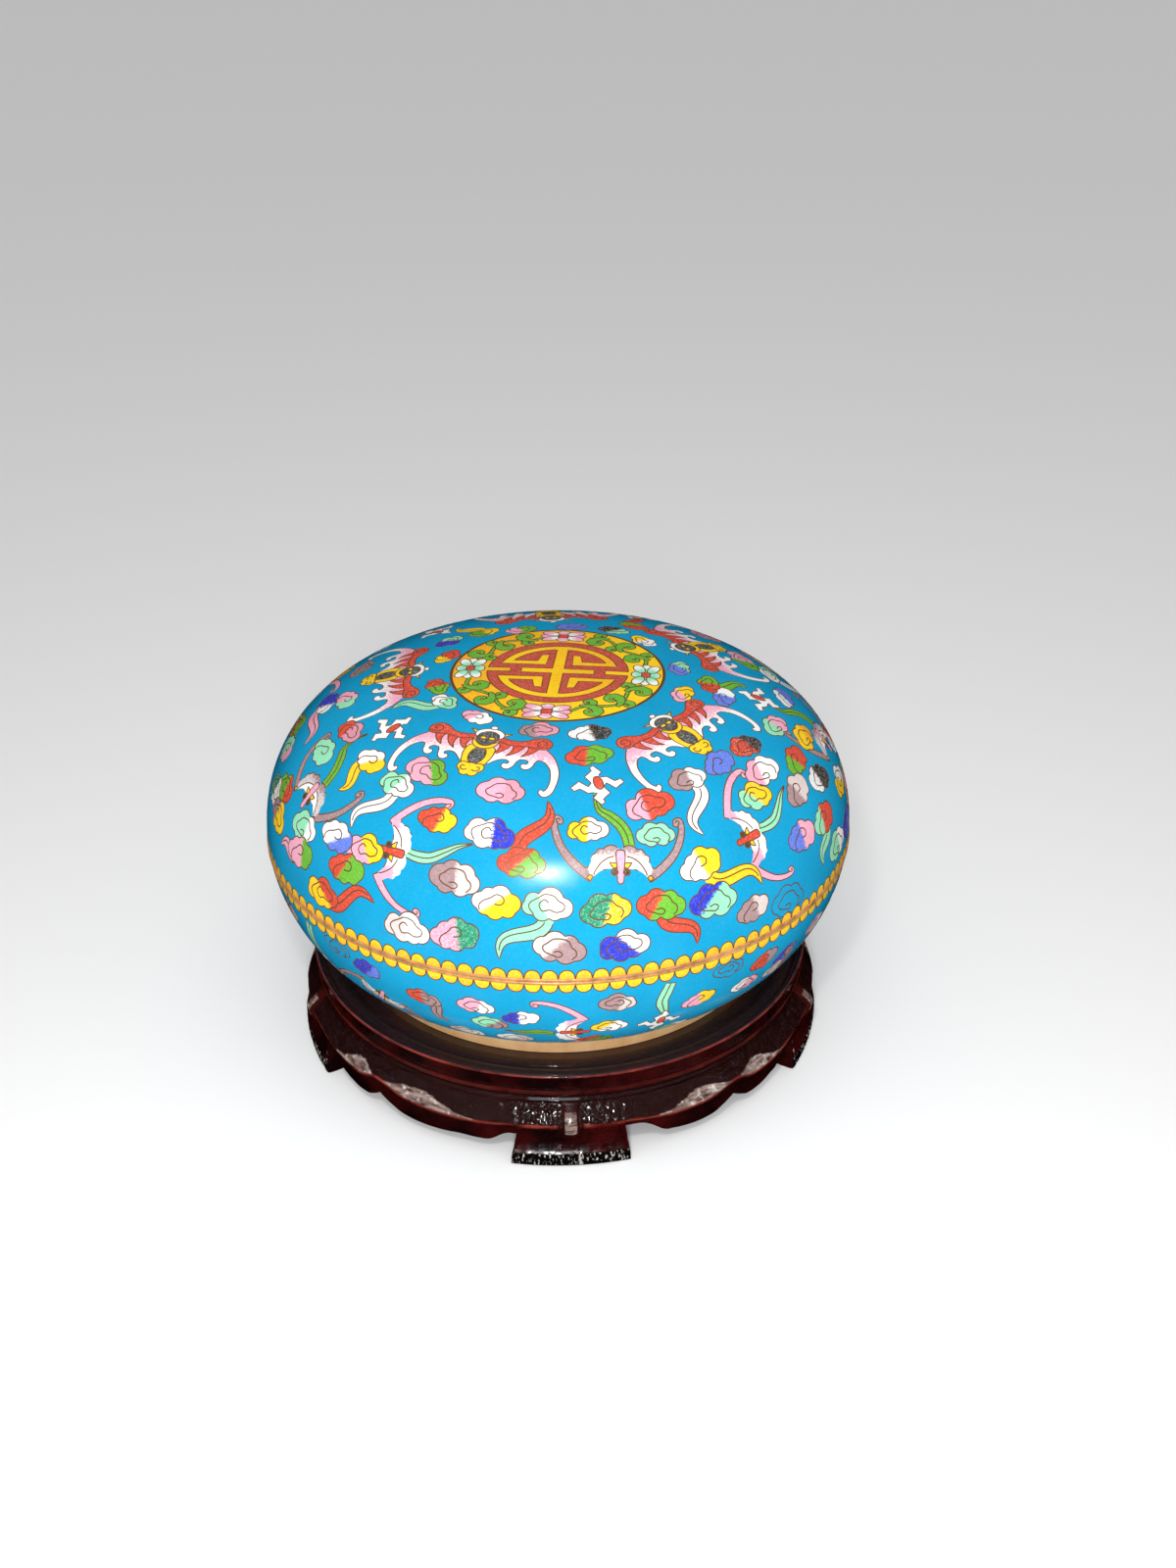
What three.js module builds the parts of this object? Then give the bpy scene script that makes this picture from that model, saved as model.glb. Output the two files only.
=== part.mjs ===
// Round enamelled copper box with a domed lid, on a carved wooden stand with five feet.
// Millimetres, +Z up, front towards -Y, ground at z = 0, origin on the axis.
import * as THREE from 'three'
import { mergeVertices } from 'three/addons/utils/BufferGeometryUtils.js'

// ---- driving dimensions ----
const rim_radius = 150          // outside of the enamel at the seam
const seam_z = 118              // plane where the lid meets the bowl
const lid_rise = 80.4           // apex of the lid above the seam
const bowl_drop = 75            // height of the curve the bowl follows below the seam
const wall = 2.6                // copper with enamel on both sides
const bead_height = 1.7         // each gilt bead at the seam
const bead_proud = 0.4          // how far a bead stands out of the enamel
const flange_top = 5            // inner flange of the bowl above the seam
const flange_outer = 146.2
const flange_inner = 144.9
const base_drop = 64            // flat base of the bowl below the seam
const foot_outer = 110
const foot_inner = 106.8
const seat_z = 45.2             // seat of the stand, where the foot ring rests
const lip_radius = 133.4
const lip_z = 49.7
const skirt_top = 32.5          // joint between turned tray and carved apron
const skirt_inner = 123
const ridge_radius = 139.6
const sides = 48

const enamel = new THREE.MeshStandardMaterial({ color: 0x0f9fc8, roughness: 0.25, metalness: 0 })
const gilt = new THREE.MeshStandardMaterial({ color: 0xb5793c, roughness: 0.35, metalness: 0.9 })
const brass = new THREE.MeshStandardMaterial({ color: 0xcf9560, roughness: 0.4, metalness: 0.9 })
const wood = new THREE.MeshStandardMaterial({ color: 0x2a0606, roughness: 0.2, metalness: 0 })

const group = new THREE.Group()

// A closed, smooth-seamed mesh from a geometry, given a name and a material.
function piece(name, geometry, material) {
  geometry.deleteAttribute('uv')
  geometry.deleteAttribute('normal')
  const closed = mergeVertices(geometry, 1e-4)
  closed.computeVertexNormals()
  const mesh = new THREE.Mesh(closed, material)
  mesh.name = name
  group.add(mesh)
}

// Turns a profile of [radius, height] pairs about the Z axis.
// The pairs run up the outside and come back down the inside, or end on the axis.
function turned(pairs, closes) {
  const points = pairs.map(p => new THREE.Vector2(p[0], p[1]))
  if (closes) points.push(points[0].clone())
  const lathe = new THREE.LatheGeometry(points, sides)
  lathe.rotateX(Math.PI / 2)
  return lathe
}

// Superellipse arc: radius shrinks as height grows, full at the seam and flat over the axis.
function arc_radius(height, reach, rise, round_power, rise_power) {
  return reach * Math.pow(1 - Math.pow(height / rise, rise_power), 1 / round_power)
}
function arc_height(radius, reach, rise, round_power, rise_power) {
  return rise * Math.pow(1 - Math.pow(radius / reach, round_power), 1 / rise_power)
}
const lid_round = 3.4
const lid_power = 2.17
const bowl_round = 4.5
const bowl_power = 1.8

// ---- lid: a hollow dome, open below ----
const lid_outside = []
for (const h of [bead_height, 10, 20, 30, 40, 49]) {
  lid_outside.push([arc_radius(h, rim_radius, lid_rise, lid_round, lid_power), seam_z + h])
}
for (const r of [121, 108, 92, 70, 38]) {
  lid_outside.push([r, seam_z + arc_height(r, rim_radius, lid_rise, lid_round, lid_power)])
}
const lid_inside = []
for (const r of [50, 86, 110]) {
  lid_inside.push([r, seam_z + arc_height(r, rim_radius - wall, lid_rise - wall, lid_round, lid_power)])
}
for (const h of [46, 26, bead_height]) {
  const r = arc_radius(h, rim_radius - wall, lid_rise - wall, lid_round, lid_power)
  lid_inside.push([r, seam_z + h])
}
piece('lid', turned([
  ...lid_outside,
  [0, seam_z + lid_rise],
  [0, seam_z + lid_rise - wall],
  ...lid_inside,
], true), enamel)

// ---- gilt bead on the edge of the lid ----
const bead_out = rim_radius + bead_proud
const bead_in = rim_radius - wall
piece('lid_rim', turned([
  [bead_in, seam_z],
  [bead_out - 0.45, seam_z],
  [bead_out, seam_z + 0.8],
  [bead_out - 0.4, seam_z + bead_height],
  [bead_in, seam_z + bead_height],
], true), gilt)

// ---- gilt bead on the edge of the bowl, with the flange the lid sits over ----
piece('bowl_rim', turned([
  [bead_in, seam_z - bead_height],
  [bead_out - 0.4, seam_z - bead_height],
  [bead_out, seam_z - 0.8],
  [bead_out - 0.45, seam_z],
  [flange_outer, seam_z],
  [flange_outer, seam_z + flange_top],
  [flange_inner, seam_z + flange_top],
  [flange_inner, seam_z - bead_height],
], true), gilt)

// ---- bowl: hollow, open above, with a flat base inside the foot ring ----
const bowl_inside = []
const bowl_outside = []
for (const h of [59, 52, 42, 29, 15, bead_height]) {
  const r = arc_radius(h, rim_radius, bowl_drop, bowl_round, bowl_power)
  bowl_outside.push([r, seam_z - h])
}
for (const h of [bead_height, 21, 40, 52]) {
  const r = arc_radius(h, rim_radius - wall, bowl_drop - wall, bowl_round, bowl_power)
  bowl_inside.push([r, seam_z - h])
}
piece('bowl', turned([
  [0, seam_z - base_drop + 0.6],
  [foot_inner - 3, seam_z - base_drop],
  [foot_outer, seam_z - base_drop],
  ...bowl_outside,
  ...bowl_inside,
  [112.6, seam_z - 59.5],
  [105, seam_z - 61],
  [98, seam_z - base_drop + wall],
  [0, seam_z - base_drop + wall + 0.6],
], true), enamel)

// ---- brass foot ring under the bowl ----
piece('foot_ring', turned([
  [foot_inner, seat_z],
  [foot_outer - 0.5, seat_z],
  [foot_outer, seat_z + 0.5],
  [foot_outer, seam_z - base_drop],
  [foot_inner, seam_z - base_drop],
], true), brass)

// ---- turned tray of the stand: panel, seat, stepped mouldings, lip, band ----
piece('stand_top', turned([
  [0, 37],
  [skirt_inner + 1.5, 37],
  [skirt_inner + 1.5, skirt_top],
  [131.4, skirt_top],
  [131.6, 33.6],
  [129.8, 34.6],
  [132.2, 37.2],
  [133, 39],
  [132.2, 40.6],
  [132.6, 48.3],
  [lip_radius, 49.1],
  [132.9, lip_z],
  [131.9, lip_z],
  [130.4, 46.6],
  [128.4, 47.5],
  [123.8, 46.9],
  [120.8, 45.6],
  [120.2, 46.3],
  [115.4, seat_z],
  [0, seat_z],
], true), wood)

// ---- carved apron with its five feet ----
const smooth = (a, b, x) => {
  const t = Math.min(1, Math.max(0, (x - a) / (b - a)))
  return t * t * (3 - 2 * t)
}
const bump = (centre, half, x) => Math.max(0, 1 - Math.pow((x - centre) / half, 2))

// The feet and the cusps between them are cut by eye, not evenly: degrees from the front,
// growing towards +X. Each cusp follows the foot before it.
const foot_at = [2.8, 72.6, 144.6, 216.6, 288.8]
const cusp_at = [39.8, 108.6, 180.6, 252.7, 319.4]

// Half bays, each from a foot to a cusp. The notch beside the foot is notch high, and the
// lower edge falls from it to the lobe between the two stations.
const plain = { notch: 19, falls: [13.5, 20] }
const half_bays = []
for (let k = 0; k < 5; k++) {
  const after = cusp_at[k] - foot_at[k]
  const before = (foot_at[k] + 360 - cusp_at[(k + 4) % 5]) % 360
  half_bays.push({ foot: foot_at[k], side: 1, gap: after, ...plain })
  half_bays.push({ foot: foot_at[k], side: -1, gap: before, ...plain })
}
Object.assign(half_bays[0], { notch: 21, falls: [13.5, 20.6] })
Object.assign(half_bays[1], { notch: 16.5, falls: [12, 16] })

// Station u runs from 0 in the middle of a foot over its edge at 10.9 to 36 at the cusp.
const foot_edge = 10.9

// Height of the lower edge: foot to the ground, notch, lobe, then up to the cusp.
function lower_edge(u, bay) {
  if (u < foot_edge) return 0
  const lobe = 10 - 1.6 * bump(27, 6, u)
  return lobe + (bay.notch - 10) * (1 - smooth(bay.falls[0], bay.falls[1], u))
    + 5 * Math.pow(Math.max(0, u - 31) / 5, 1.6)
}

// The bright ridge sinks a little over each lobe and rises at the cusp.
const ridge_z = u => 24 - 1.6 * bump(23, 11, u) + 2.4 * smooth(29, 36, u)

// Outer corners of the apron, from the joint with the tray down to the lower edge,
// then back up the plain inner face. Each corner is [degrees added, radius, height].
function section(u, bay) {
  const ridge = ridge_z(u)
  const low = lower_edge(u, bay)
  const lug = Math.sqrt(bump(0, 1.8, u))
  const leaf = u > 14 && u < 35 ? Math.sin(Math.PI * Math.pow((u - 14) / 21, 1.7)) : 0
  const pocket = smooth(32, 36, u)
  const corners = []
  corners.push([0, 131.4, skirt_top])
  corners.push([0, 131.8 + 1.2 * lug - 1.4 * pocket, 31.6])
  corners.push([0, 134.8 + 3.4 * lug - 0.9 * leaf - 2.2 * pocket, 28.4])
  corners.push([0, 137.4 + 3.2 * lug - 1.3 * leaf - 1.4 * pocket, ridge + 2.2])
  corners.push([0, ridge_radius + 2.2 * lug - 0.5 * pocket, ridge])
  if (u < foot_edge) {
    const flare = Math.pow(u / foot_edge, 8)
    corners.push([-0.5 * flare, 136.8 + 4 * lug, 18])
    corners.push([-0.7 * flare, 136.8, 13])
    corners.push([0.1 * flare, 139.8, 9])
    corners.push([0.9 * flare, 141.8, 7.4])
    corners.push([1.1 * flare, 141.9, 0])
    corners.push([1.1 * flare, 130, 0])
    corners.push([0, 126.4, 12])
  } else {
    const depth = ridge - low
    corners.push([0, ridge_radius - 0.9 * smooth(0, 8, depth), ridge - 0.25 * depth])
    corners.push([0, ridge_radius - 1.4 * smooth(0, 9, depth), ridge - 0.55 * depth])
    corners.push([0, ridge_radius - 1.8 * smooth(0, 9, depth), ridge - 0.78 * depth])
    corners.push([0, ridge_radius - 2.2 * smooth(0, 9, depth), ridge - 0.92 * depth])
    corners.push([0, ridge_radius - 2.6 * smooth(0, 9, depth), low])
    corners.push([0, 127.6, low])
    corners.push([0, 125.6, low + 0.5 * (skirt_top - low)])
  }
  corners.push([0, skirt_inner + 1.5, skirt_top])
  return corners.reverse()
}

// Stations in the order of the turn: out from each foot to its cusp, then in to the next foot.
const stations = [0, 1, 1.8, 8.4, 10.8, 11, 13, 15.5, 18.5, 22.5, 27, 31, 34, 36]
const turns = []
for (let k = 0; k < 5; k++) {
  for (const u of stations) turns.push([u, half_bays[2 * k]])
  for (const u of stations.slice(1, -1).reverse()) turns.push([u, half_bays[(2 * k + 3) % 10]])
}
const rows = section(0, plain).length
const outline = []
for (let i = 0; i < rows; i++) outline.push(new THREE.Vector2(130 + i, i))
outline.push(outline[0].clone())
const skirt = new THREE.LatheGeometry(outline, turns.length)
const place = skirt.getAttribute('position')
for (let i = 0; i <= turns.length; i++) {
  const [u, bay] = turns[i % turns.length]
  const past_foot = Math.max(0, u - 11) * (bay.gap - 11) / 25
  const along = Math.min(u, 11) + past_foot
  const corners = section(u, bay)
  for (let j = 0; j <= rows; j++) {
    const [more, radius, height] = corners[j % rows]
    const angle = THREE.MathUtils.degToRad(-90 + bay.foot + bay.side * (along + more))
    place.setXYZ(i * (rows + 1) + j, radius * Math.cos(angle), radius * Math.sin(angle), height)
  }
}
piece('stand_apron', skirt, wood)

export default group
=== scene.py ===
"""Round cloisonne box with a domed lid, on a carved wooden stand with five feet.

Every piece is built in metres round the Z axis, its front towards -Y and the ground at z = 0.
Drawings on the enamel are laid out flat, in millimetres, with complex numbers: the real part
runs to the right and the imaginary part towards the top of the lid.
"""
import math

import bpy
import numpy as np
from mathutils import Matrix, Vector
from mathutils.geometry import delaunay_2d_cdt


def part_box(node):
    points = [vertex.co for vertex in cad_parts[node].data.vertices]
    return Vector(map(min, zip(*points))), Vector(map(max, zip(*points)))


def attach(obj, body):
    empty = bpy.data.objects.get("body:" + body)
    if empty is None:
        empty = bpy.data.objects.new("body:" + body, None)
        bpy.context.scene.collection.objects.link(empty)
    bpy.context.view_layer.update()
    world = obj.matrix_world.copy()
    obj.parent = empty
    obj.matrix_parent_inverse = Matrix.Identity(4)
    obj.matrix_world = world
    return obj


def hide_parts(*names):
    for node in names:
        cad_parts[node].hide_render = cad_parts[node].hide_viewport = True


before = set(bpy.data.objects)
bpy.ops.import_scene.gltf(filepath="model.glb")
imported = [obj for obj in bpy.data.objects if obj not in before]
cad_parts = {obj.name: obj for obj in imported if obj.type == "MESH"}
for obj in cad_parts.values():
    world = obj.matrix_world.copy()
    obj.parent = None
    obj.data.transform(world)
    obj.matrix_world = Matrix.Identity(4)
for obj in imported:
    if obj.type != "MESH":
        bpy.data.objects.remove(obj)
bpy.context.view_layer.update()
MM = 0.001

# ---- sizes in millimetres, read from the frame ----
lid_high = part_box("lid")[1] / MM
rim_low, rim_high = [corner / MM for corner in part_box("lid_rim")]
bowl_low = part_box("bowl")[0] / MM
flange_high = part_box("bowl_rim")[1] / MM
ring_low, ring_high = [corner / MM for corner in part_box("foot_ring")]
tray_low, tray_high = [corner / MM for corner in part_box("stand_top")]
seam = rim_low.z
bead = rim_high.z - seam
inset = 0.07                          # the enamel stays this far inside the solid, under its wires
reach = 150.0
lid_rise = lid_high.z - seam
bowl_curve = 75.0                     # depth of the curve that the bowl follows
base_drop = seam - bowl_low.z
wall = 2.6
LID_POWERS, BOWL_POWERS = (3.4, 2.17), (4.5, 1.8)      # round and lift of each skin's curve

# ---- glass colours, as the eye names them (0 to 255) ----
COLOURS = {
    "turquoise": (14, 152, 198), "yellow": (252, 206, 24), "amber": (244, 172, 34),
    "fret": (196, 78, 58), "red": (214, 74, 52), "leaf": (104, 178, 48), "mint": (146, 224, 182),
    "white": (243, 243, 240), "pink": (238, 168, 190), "rose": (220, 150, 168),
    "mauve": (164, 134, 136), "pale": (216, 202, 198), "cobalt": (48, 58, 196),
    "periwinkle": (98, 124, 218), "black": (52, 50, 50), "bottle": (40, 152, 112),
    "metal": (150, 104, 66), "soot": (78, 80, 78),
}


def linear(colour):
    """Eye values 0-255 to light: ((c + 0.055) / 1.055) ** 2.4 above the dark toe."""
    c = np.array(colour, float) / 255
    return np.where(c < 0.04045, c / 12.92, ((c + 0.055) / 1.055) ** 2.4)


def paint(left, right=None, towards=0.0, shift=0.0, soft=1.6, grain=0.35):
    """One glass, or two that meet on a line: `towards` degrees points from left to right glass,
    `shift` mm moves the line that way, `soft` mm is the width over which they mix."""
    return dict(left=linear(COLOURS[left]), right=linear(COLOURS[right or left]), grain=grain,
                towards=np.exp(1j * math.radians(towards)), shift=shift, soft=soft)


# ---------------------------------------------------------------- lines and outlines
def curve(points, closed=True, step=1.0):
    """A line through the points with a sample about every `step` mm. Between corners each span
    is a cubic whose end slopes are half the vector between the neighbouring points. A point
    given twice is a corner."""
    p = np.array(points, complex)
    twice = np.flatnonzero(p == np.roll(p, 1)) if closed else np.array([], int)
    if closed:
        p = np.roll(p, -twice[0]) if len(twice) else p
        p = np.append(p, p[0])
    smooth_ring = closed and not len(twice)
    runs = []
    for run in np.split(p, np.flatnonzero(p[1:] == p[:-1]) + 1):
        if len(run) < 2:
            continue
        before, after = (run[-2], run[1]) if smooth_ring else (2 * run[0] - run[1], 2 * run[-1] - run[-2])
        q = np.concatenate([[before], run, [after]])
        count = np.maximum(1, np.ceil(abs(np.diff(run)) / step)).astype(int)
        k = np.repeat(np.arange(len(run) - 1), count)
        t = (np.arange(len(k)) - np.repeat(np.cumsum(count) - count, count)) / count[k]
        a, b, c, d = q[k], q[k + 1], q[k + 2], q[k + 3]
        runs.append(b + t / 2 * (c - a + t * (2 * a - 5 * b + 4 * c - d + t * (3 * (b - c) + d - a))))
    if not closed:
        runs.append(p[-1:])
    return np.concatenate(runs)


def mirrored(points):
    """The same points on the other side of the upright axis, in the opposite order."""
    return [complex(-z.real, z.imag) for z in map(complex, points)][::-1]


def oval(middle, across, up, turn=0.0, count=20):
    """An ellipse: middle + (across cos t + i up sin t), turned."""
    t = np.arange(count) * 2 * np.pi / count
    return middle + (across * np.cos(t) + 1j * up * np.sin(t)) * np.exp(1j * math.radians(turn))


def lobed(lobes, count=64):
    """Outline of a group of overlapping round lobes (x, y, radius): along each direction from
    the middle, the farthest point where a ray leaves one of the circles."""
    way = np.exp(2j * np.pi * np.arange(count) / count)
    far = np.zeros(count)
    for x, y, radius in lobes:
        along = (complex(x, -y) * way).real
        off = (complex(x, -y) * way).imag
        hit = radius ** 2 > off ** 2
        far = np.maximum(far, np.where(hit, along + np.sqrt(np.maximum(radius ** 2 - off ** 2, 0)), 0))
    return way * far


def band(path, half):
    """A strip round a path: the path moved to its left by the half width, then back on its right."""
    way = np.gradient(path)
    side = 1j * way / abs(way) * half
    left, right = path + side, (path - side)[::-1]
    return np.concatenate([left, right[1:] if half[-1] < 1e-6 else right])


# ---------------------------------------------------------------- enamelled surfaces
def dome_curve(wide, tall, powers, low, high, count):
    """(r / wide) ** round + (h / tall) ** lift = 1 between two values of h: r, h and arc length."""
    t = np.linspace(0, np.pi / 2, count)
    r = wide * np.sin(t) ** (2 / powers[0])
    h = tall * np.cos(t) ** (2 / powers[1])
    keep = (h >= low) & (h <= high)
    r, h = r[keep], h[keep]
    return r, h, arc_along(r, h)


def arc_along(r, h):
    """Length along a line from its first point to each of its points."""
    return np.concatenate([[0], np.cumsum(np.hypot(np.diff(r), np.diff(h)))])


class Skin:
    """The curve (r / reach) ** round + (h / rise) ** lift = 1 turned about the axis. h is the
    height above the seam on the lid and the depth below it on the bowl. A point on it has an
    azimuth, 0 in front and growing to the right, and an arc length along the curve."""

    def __init__(self, rise, powers, way, h_range, spread):
        self.way = way
        wide, tall = reach - inset, rise - inset
        r, h, _ = dome_curve(wide, tall, powers, *h_range, 6001)
        if way < 0:
            r, h = r[::-1], h[::-1]
        self.r, self.h, self.arc = r, h, arc_along(r, h)
        out = powers[0] / wide * (r / wide) ** (powers[0] - 1)
        up = way * powers[1] / tall * (h / tall) ** (powers[1] - 1)
        self.out, self.up = out / np.hypot(out, up), up / np.hypot(out, up)
        self.slope = -np.arctan2(way * h, r)
        self.length = self.arc[-1]
        self.start, self.spread = spread   # the chart's radius is start + spread * arc
        self.edge = abs(self.start + self.spread * np.array([0, self.length]))

    def hold(self, azimuth, arc, turn=0.0, size=1.0, flip=False):
        """A way to lay a flat drawing on the skin. The drawing is held square to the surface at
        this place, turned anticlockwise, and each point is carried straight towards the middle
        of the box until it meets the surface. Gives points of the flat chart."""
        a = math.radians(azimuth - 90)
        away = np.array([math.cos(a), math.sin(a), 0])
        side = np.array([-math.sin(a), math.cos(a), 0])
        r, h, out, up = (np.interp(arc, self.arc, x) for x in (self.r, self.h, self.out, self.up))
        place = r * away + np.array([0, 0, self.way * h])
        upward = np.cross(out * away + np.array([0, 0, up]), side)
        spin = size * np.exp(1j * math.radians(turn))

        def laid(flat):
            z = np.asarray(flat, complex)
            z = (-z.conj() if flip else z) * spin
            q = place + z.real[:, None] * side + z.imag[:, None] * upward
            slope = -np.arctan2(q[:, 2], np.hypot(q[:, 0], q[:, 1]))
            far = self.start + self.spread * np.interp(slope, self.slope, self.arc)
            return far * np.exp(1j * np.arctan2(q[:, 1], q[:, 0]))
        return laid

    def lift(self, chart):
        """Points and outward normals in space, in mm, of points on the flat chart."""
        arc = (abs(chart) - self.start) / self.spread
        r, h, out, up = (np.interp(arc, self.arc, x) for x in (self.r, self.h, self.out, self.up))
        way = chart / np.maximum(abs(chart), 1e-9)
        point = np.stack([r * way.real, r * way.imag, seam + self.way * h], 1)
        return point, np.stack([out * way.real, out * way.imag, up], 1)


def inside(points, outline):
    """Whether each point lies inside a closed outline: an upward ray crosses it an odd number
    of times."""
    a, b = outline, np.roll(outline, -1)
    x, y = points.real[:, None], points.imag[:, None]
    spans = (a.real > x) != (b.real > x)
    run = np.where(b.real == a.real, 1, b.real - a.real)
    height = a.imag + (x - a.real) * (b.imag - a.imag) / run
    return (spans & (height > y)).sum(1) % 2 == 1


def within(points, box):
    """Whether each point lies in the box between a low and a high corner."""
    low, high = box
    across = (points.real > low.real) & (points.real < high.real)
    return across & (points.imag > low.imag) & (points.imag < high.imag)


class Sheet:
    """The drawing on one skin: cells of glass, each over the ones before it, and wires."""

    def __init__(self, skin):
        self.skin, self.cells, self.wires = skin, [], []

    def cell(self, laid, outline, glass, family, wired=True):
        flat = laid(outline)
        terms = np.stack([flat, flat.conj(), np.ones(len(flat))], 1)
        fit = np.linalg.lstsq(terms, np.asarray(outline, complex), rcond=None)[0]
        box = complex(flat.real.min(), flat.imag.min()), complex(flat.real.max(), flat.imag.max())
        self.cells.append(dict(outline=flat, glass=glass, family=family, fit=fit, box=box))
        if wired:
            self.wires.append((flat, True, len(self.cells)))

    def wire(self, laid, line):
        self.wires.append((laid(line), False, len(self.cells)))

    def divided(self, spacing=4.6):
        """Cuts the chart into triangles that follow every outline, with rings of points between
        them, and gives each triangle the topmost cell that it lies in."""
        low, high = sorted(self.skin.edge)
        grid = []
        for far in np.arange(high - spacing / 2, max(low, 1), -spacing):
            count = max(6, int(2 * np.pi * far / spacing))
            grid.append(far * np.exp(2j * np.pi * (np.arange(count) + 0.5 * (len(grid) % 2)) / count))
        outlines = [cell["outline"] for cell in self.cells]
        if low > 1:
            outlines.append(ring_of(low))
        points = np.concatenate(outlines + grid)
        ends = np.cumsum([len(o) for o in outlines])
        edges = [(k, k + 1) for k in range(ends[-1])]
        for start, end in zip([0, *ends[:-1]], ends):
            edges[end - 1] = (end - 1, start)
        vectors = [Vector((z.real, z.imag)) for z in points]
        found = delaunay_2d_cdt(vectors, edges, [], 0, 1e-3, False)
        chart = np.array([complex(v.x, v.y) for v in found[0]])
        triangles = np.array(found[2])
        middle = chart[triangles].mean(1)
        triangles, middle = triangles[abs(middle) > low], middle[abs(middle) > low]
        owner = np.zeros(len(triangles), int)
        for k, cell in enumerate(self.cells[1:], 1):
            near = np.flatnonzero(within(middle, cell["box"]))
            owner[near[inside(middle[near], cell["outline"])]] = k
        a, b, c = chart[triangles].T
        turned = ((b - a).conj() * (c - a)).imag * self.skin.spread < 0
        triangles[turned] = triangles[turned][:, ::-1]
        return chart, triangles, owner

    def wire_runs(self):
        """The visible stretches of all the wires: a wire is hidden where a later cell covers it."""
        runs = []
        for line, closed, level in self.wires:
            hidden = np.zeros(len(line), bool)
            for cell in self.cells[level:]:
                if within(line, cell["box"]).any():
                    hidden |= inside(line, cell["outline"])
            if not hidden.any():
                runs.append((line, closed))
                continue
            if closed:
                first = np.flatnonzero(hidden)[0]
                line, hidden = np.roll(line, -first), np.roll(hidden, -first)
                line, hidden = np.append(line, line[0]), np.append(hidden, True)
            cuts = np.flatnonzero(np.diff(hidden.astype(int))) + 1
            for part, gone in zip(np.split(line, cuts), np.split(hidden, cuts)):
                if not gone[0] and len(part) > 2:
                    runs.append((part, False))
        return runs


def ring_of(far, count=536):
    """A circle on the chart."""
    return far * np.exp(2j * np.pi * np.arange(count) / count)


# ---------------------------------------------------------------- meshes
def piece(name, points, faces, material, slot, *nodes, normals=None, smooth=True):
    """A mesh from points in mm and a face array, riding on the body that holds the box."""
    mesh = bpy.data.meshes.new(name)
    points = np.asarray(points, np.float32) * MM
    faces = np.asarray(faces, np.int32)
    mesh.vertices.add(len(points))
    mesh.vertices.foreach_set("co", points.ravel())
    mesh.loops.add(faces.size)
    mesh.loops.foreach_set("vertex_index", faces.ravel())
    mesh.polygons.add(len(faces))
    mesh.polygons.foreach_set("loop_start", np.arange(len(faces), dtype=np.int32) * faces.shape[1])
    mesh.update(calc_edges=True)
    mesh.validate()
    mesh.shade_smooth() if smooth else mesh.shade_flat()
    if normals is not None:
        mesh.normals_split_custom_set_from_vertices(np.asarray(normals, np.float32))
    mesh.materials.append(material)
    made = bpy.data.objects.new(name, mesh)
    bpy.context.collection.objects.link(made)
    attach(made, "root")
    if nodes:
        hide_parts(*nodes)
    return made


def enamel_pieces(sheet, chart, triangles, owner, prefix, material, node):
    """One mesh for each family of cells. Every corner carries both glasses of its cell, the
    place of the line where they meet, and how grainy the glass is."""
    families = [cell["family"] for cell in sheet.cells]
    for family in dict.fromkeys(families):
        mine = np.isin(owner, [i for i, f in enumerate(families) if f == family])
        used, corners = np.unique(triangles[mine], return_inverse=True)
        faces = corners.reshape(-1, 3)
        points, normals = sheet.skin.lift(chart[used])
        made = piece(prefix + "_" + family, points, faces, material, "enamel", node, normals=normals)
        owners = np.repeat(owner[mine], 3)
        place = chart[triangles[mine].ravel()]
        glasses = [cell["glass"] for cell in sheet.cells]
        fits = np.array([cell["fit"] for cell in sheet.cells])[owners]
        local = fits[:, 0] * place + fits[:, 1] * place.conj() + fits[:, 2]
        pick = {key: np.array([g[key] for g in glasses])[owners] for key in
                ("left", "right", "towards", "shift", "soft", "grain")}
        split = ((local * pick["towards"].conj()).real - pick["shift"]) / pick["soft"]
        ones = np.ones((len(owners), 1))
        for name, values in (("glass_left", pick["left"]), ("glass_right", pick["right"])):
            layer = made.data.attributes.new(name, "FLOAT_COLOR", "CORNER")
            layer.data.foreach_set("color", np.hstack([values, ones]).astype(np.float32).ravel())
        for name, values in (("meeting", split), ("grain", pick["grain"])):
            layer = made.data.attributes.new(name, "FLOAT", "CORNER")
            layer.data.foreach_set("value", values.astype(np.float32))


WIRE_HALF = 0.28      # half the width of a wire
WIRE_PROUD = 0.05
WIRE_SUNK = 0.25
TRIANGLES_PER_SAMPLE = 8
MOST_TRIANGLES = 190000


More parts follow.
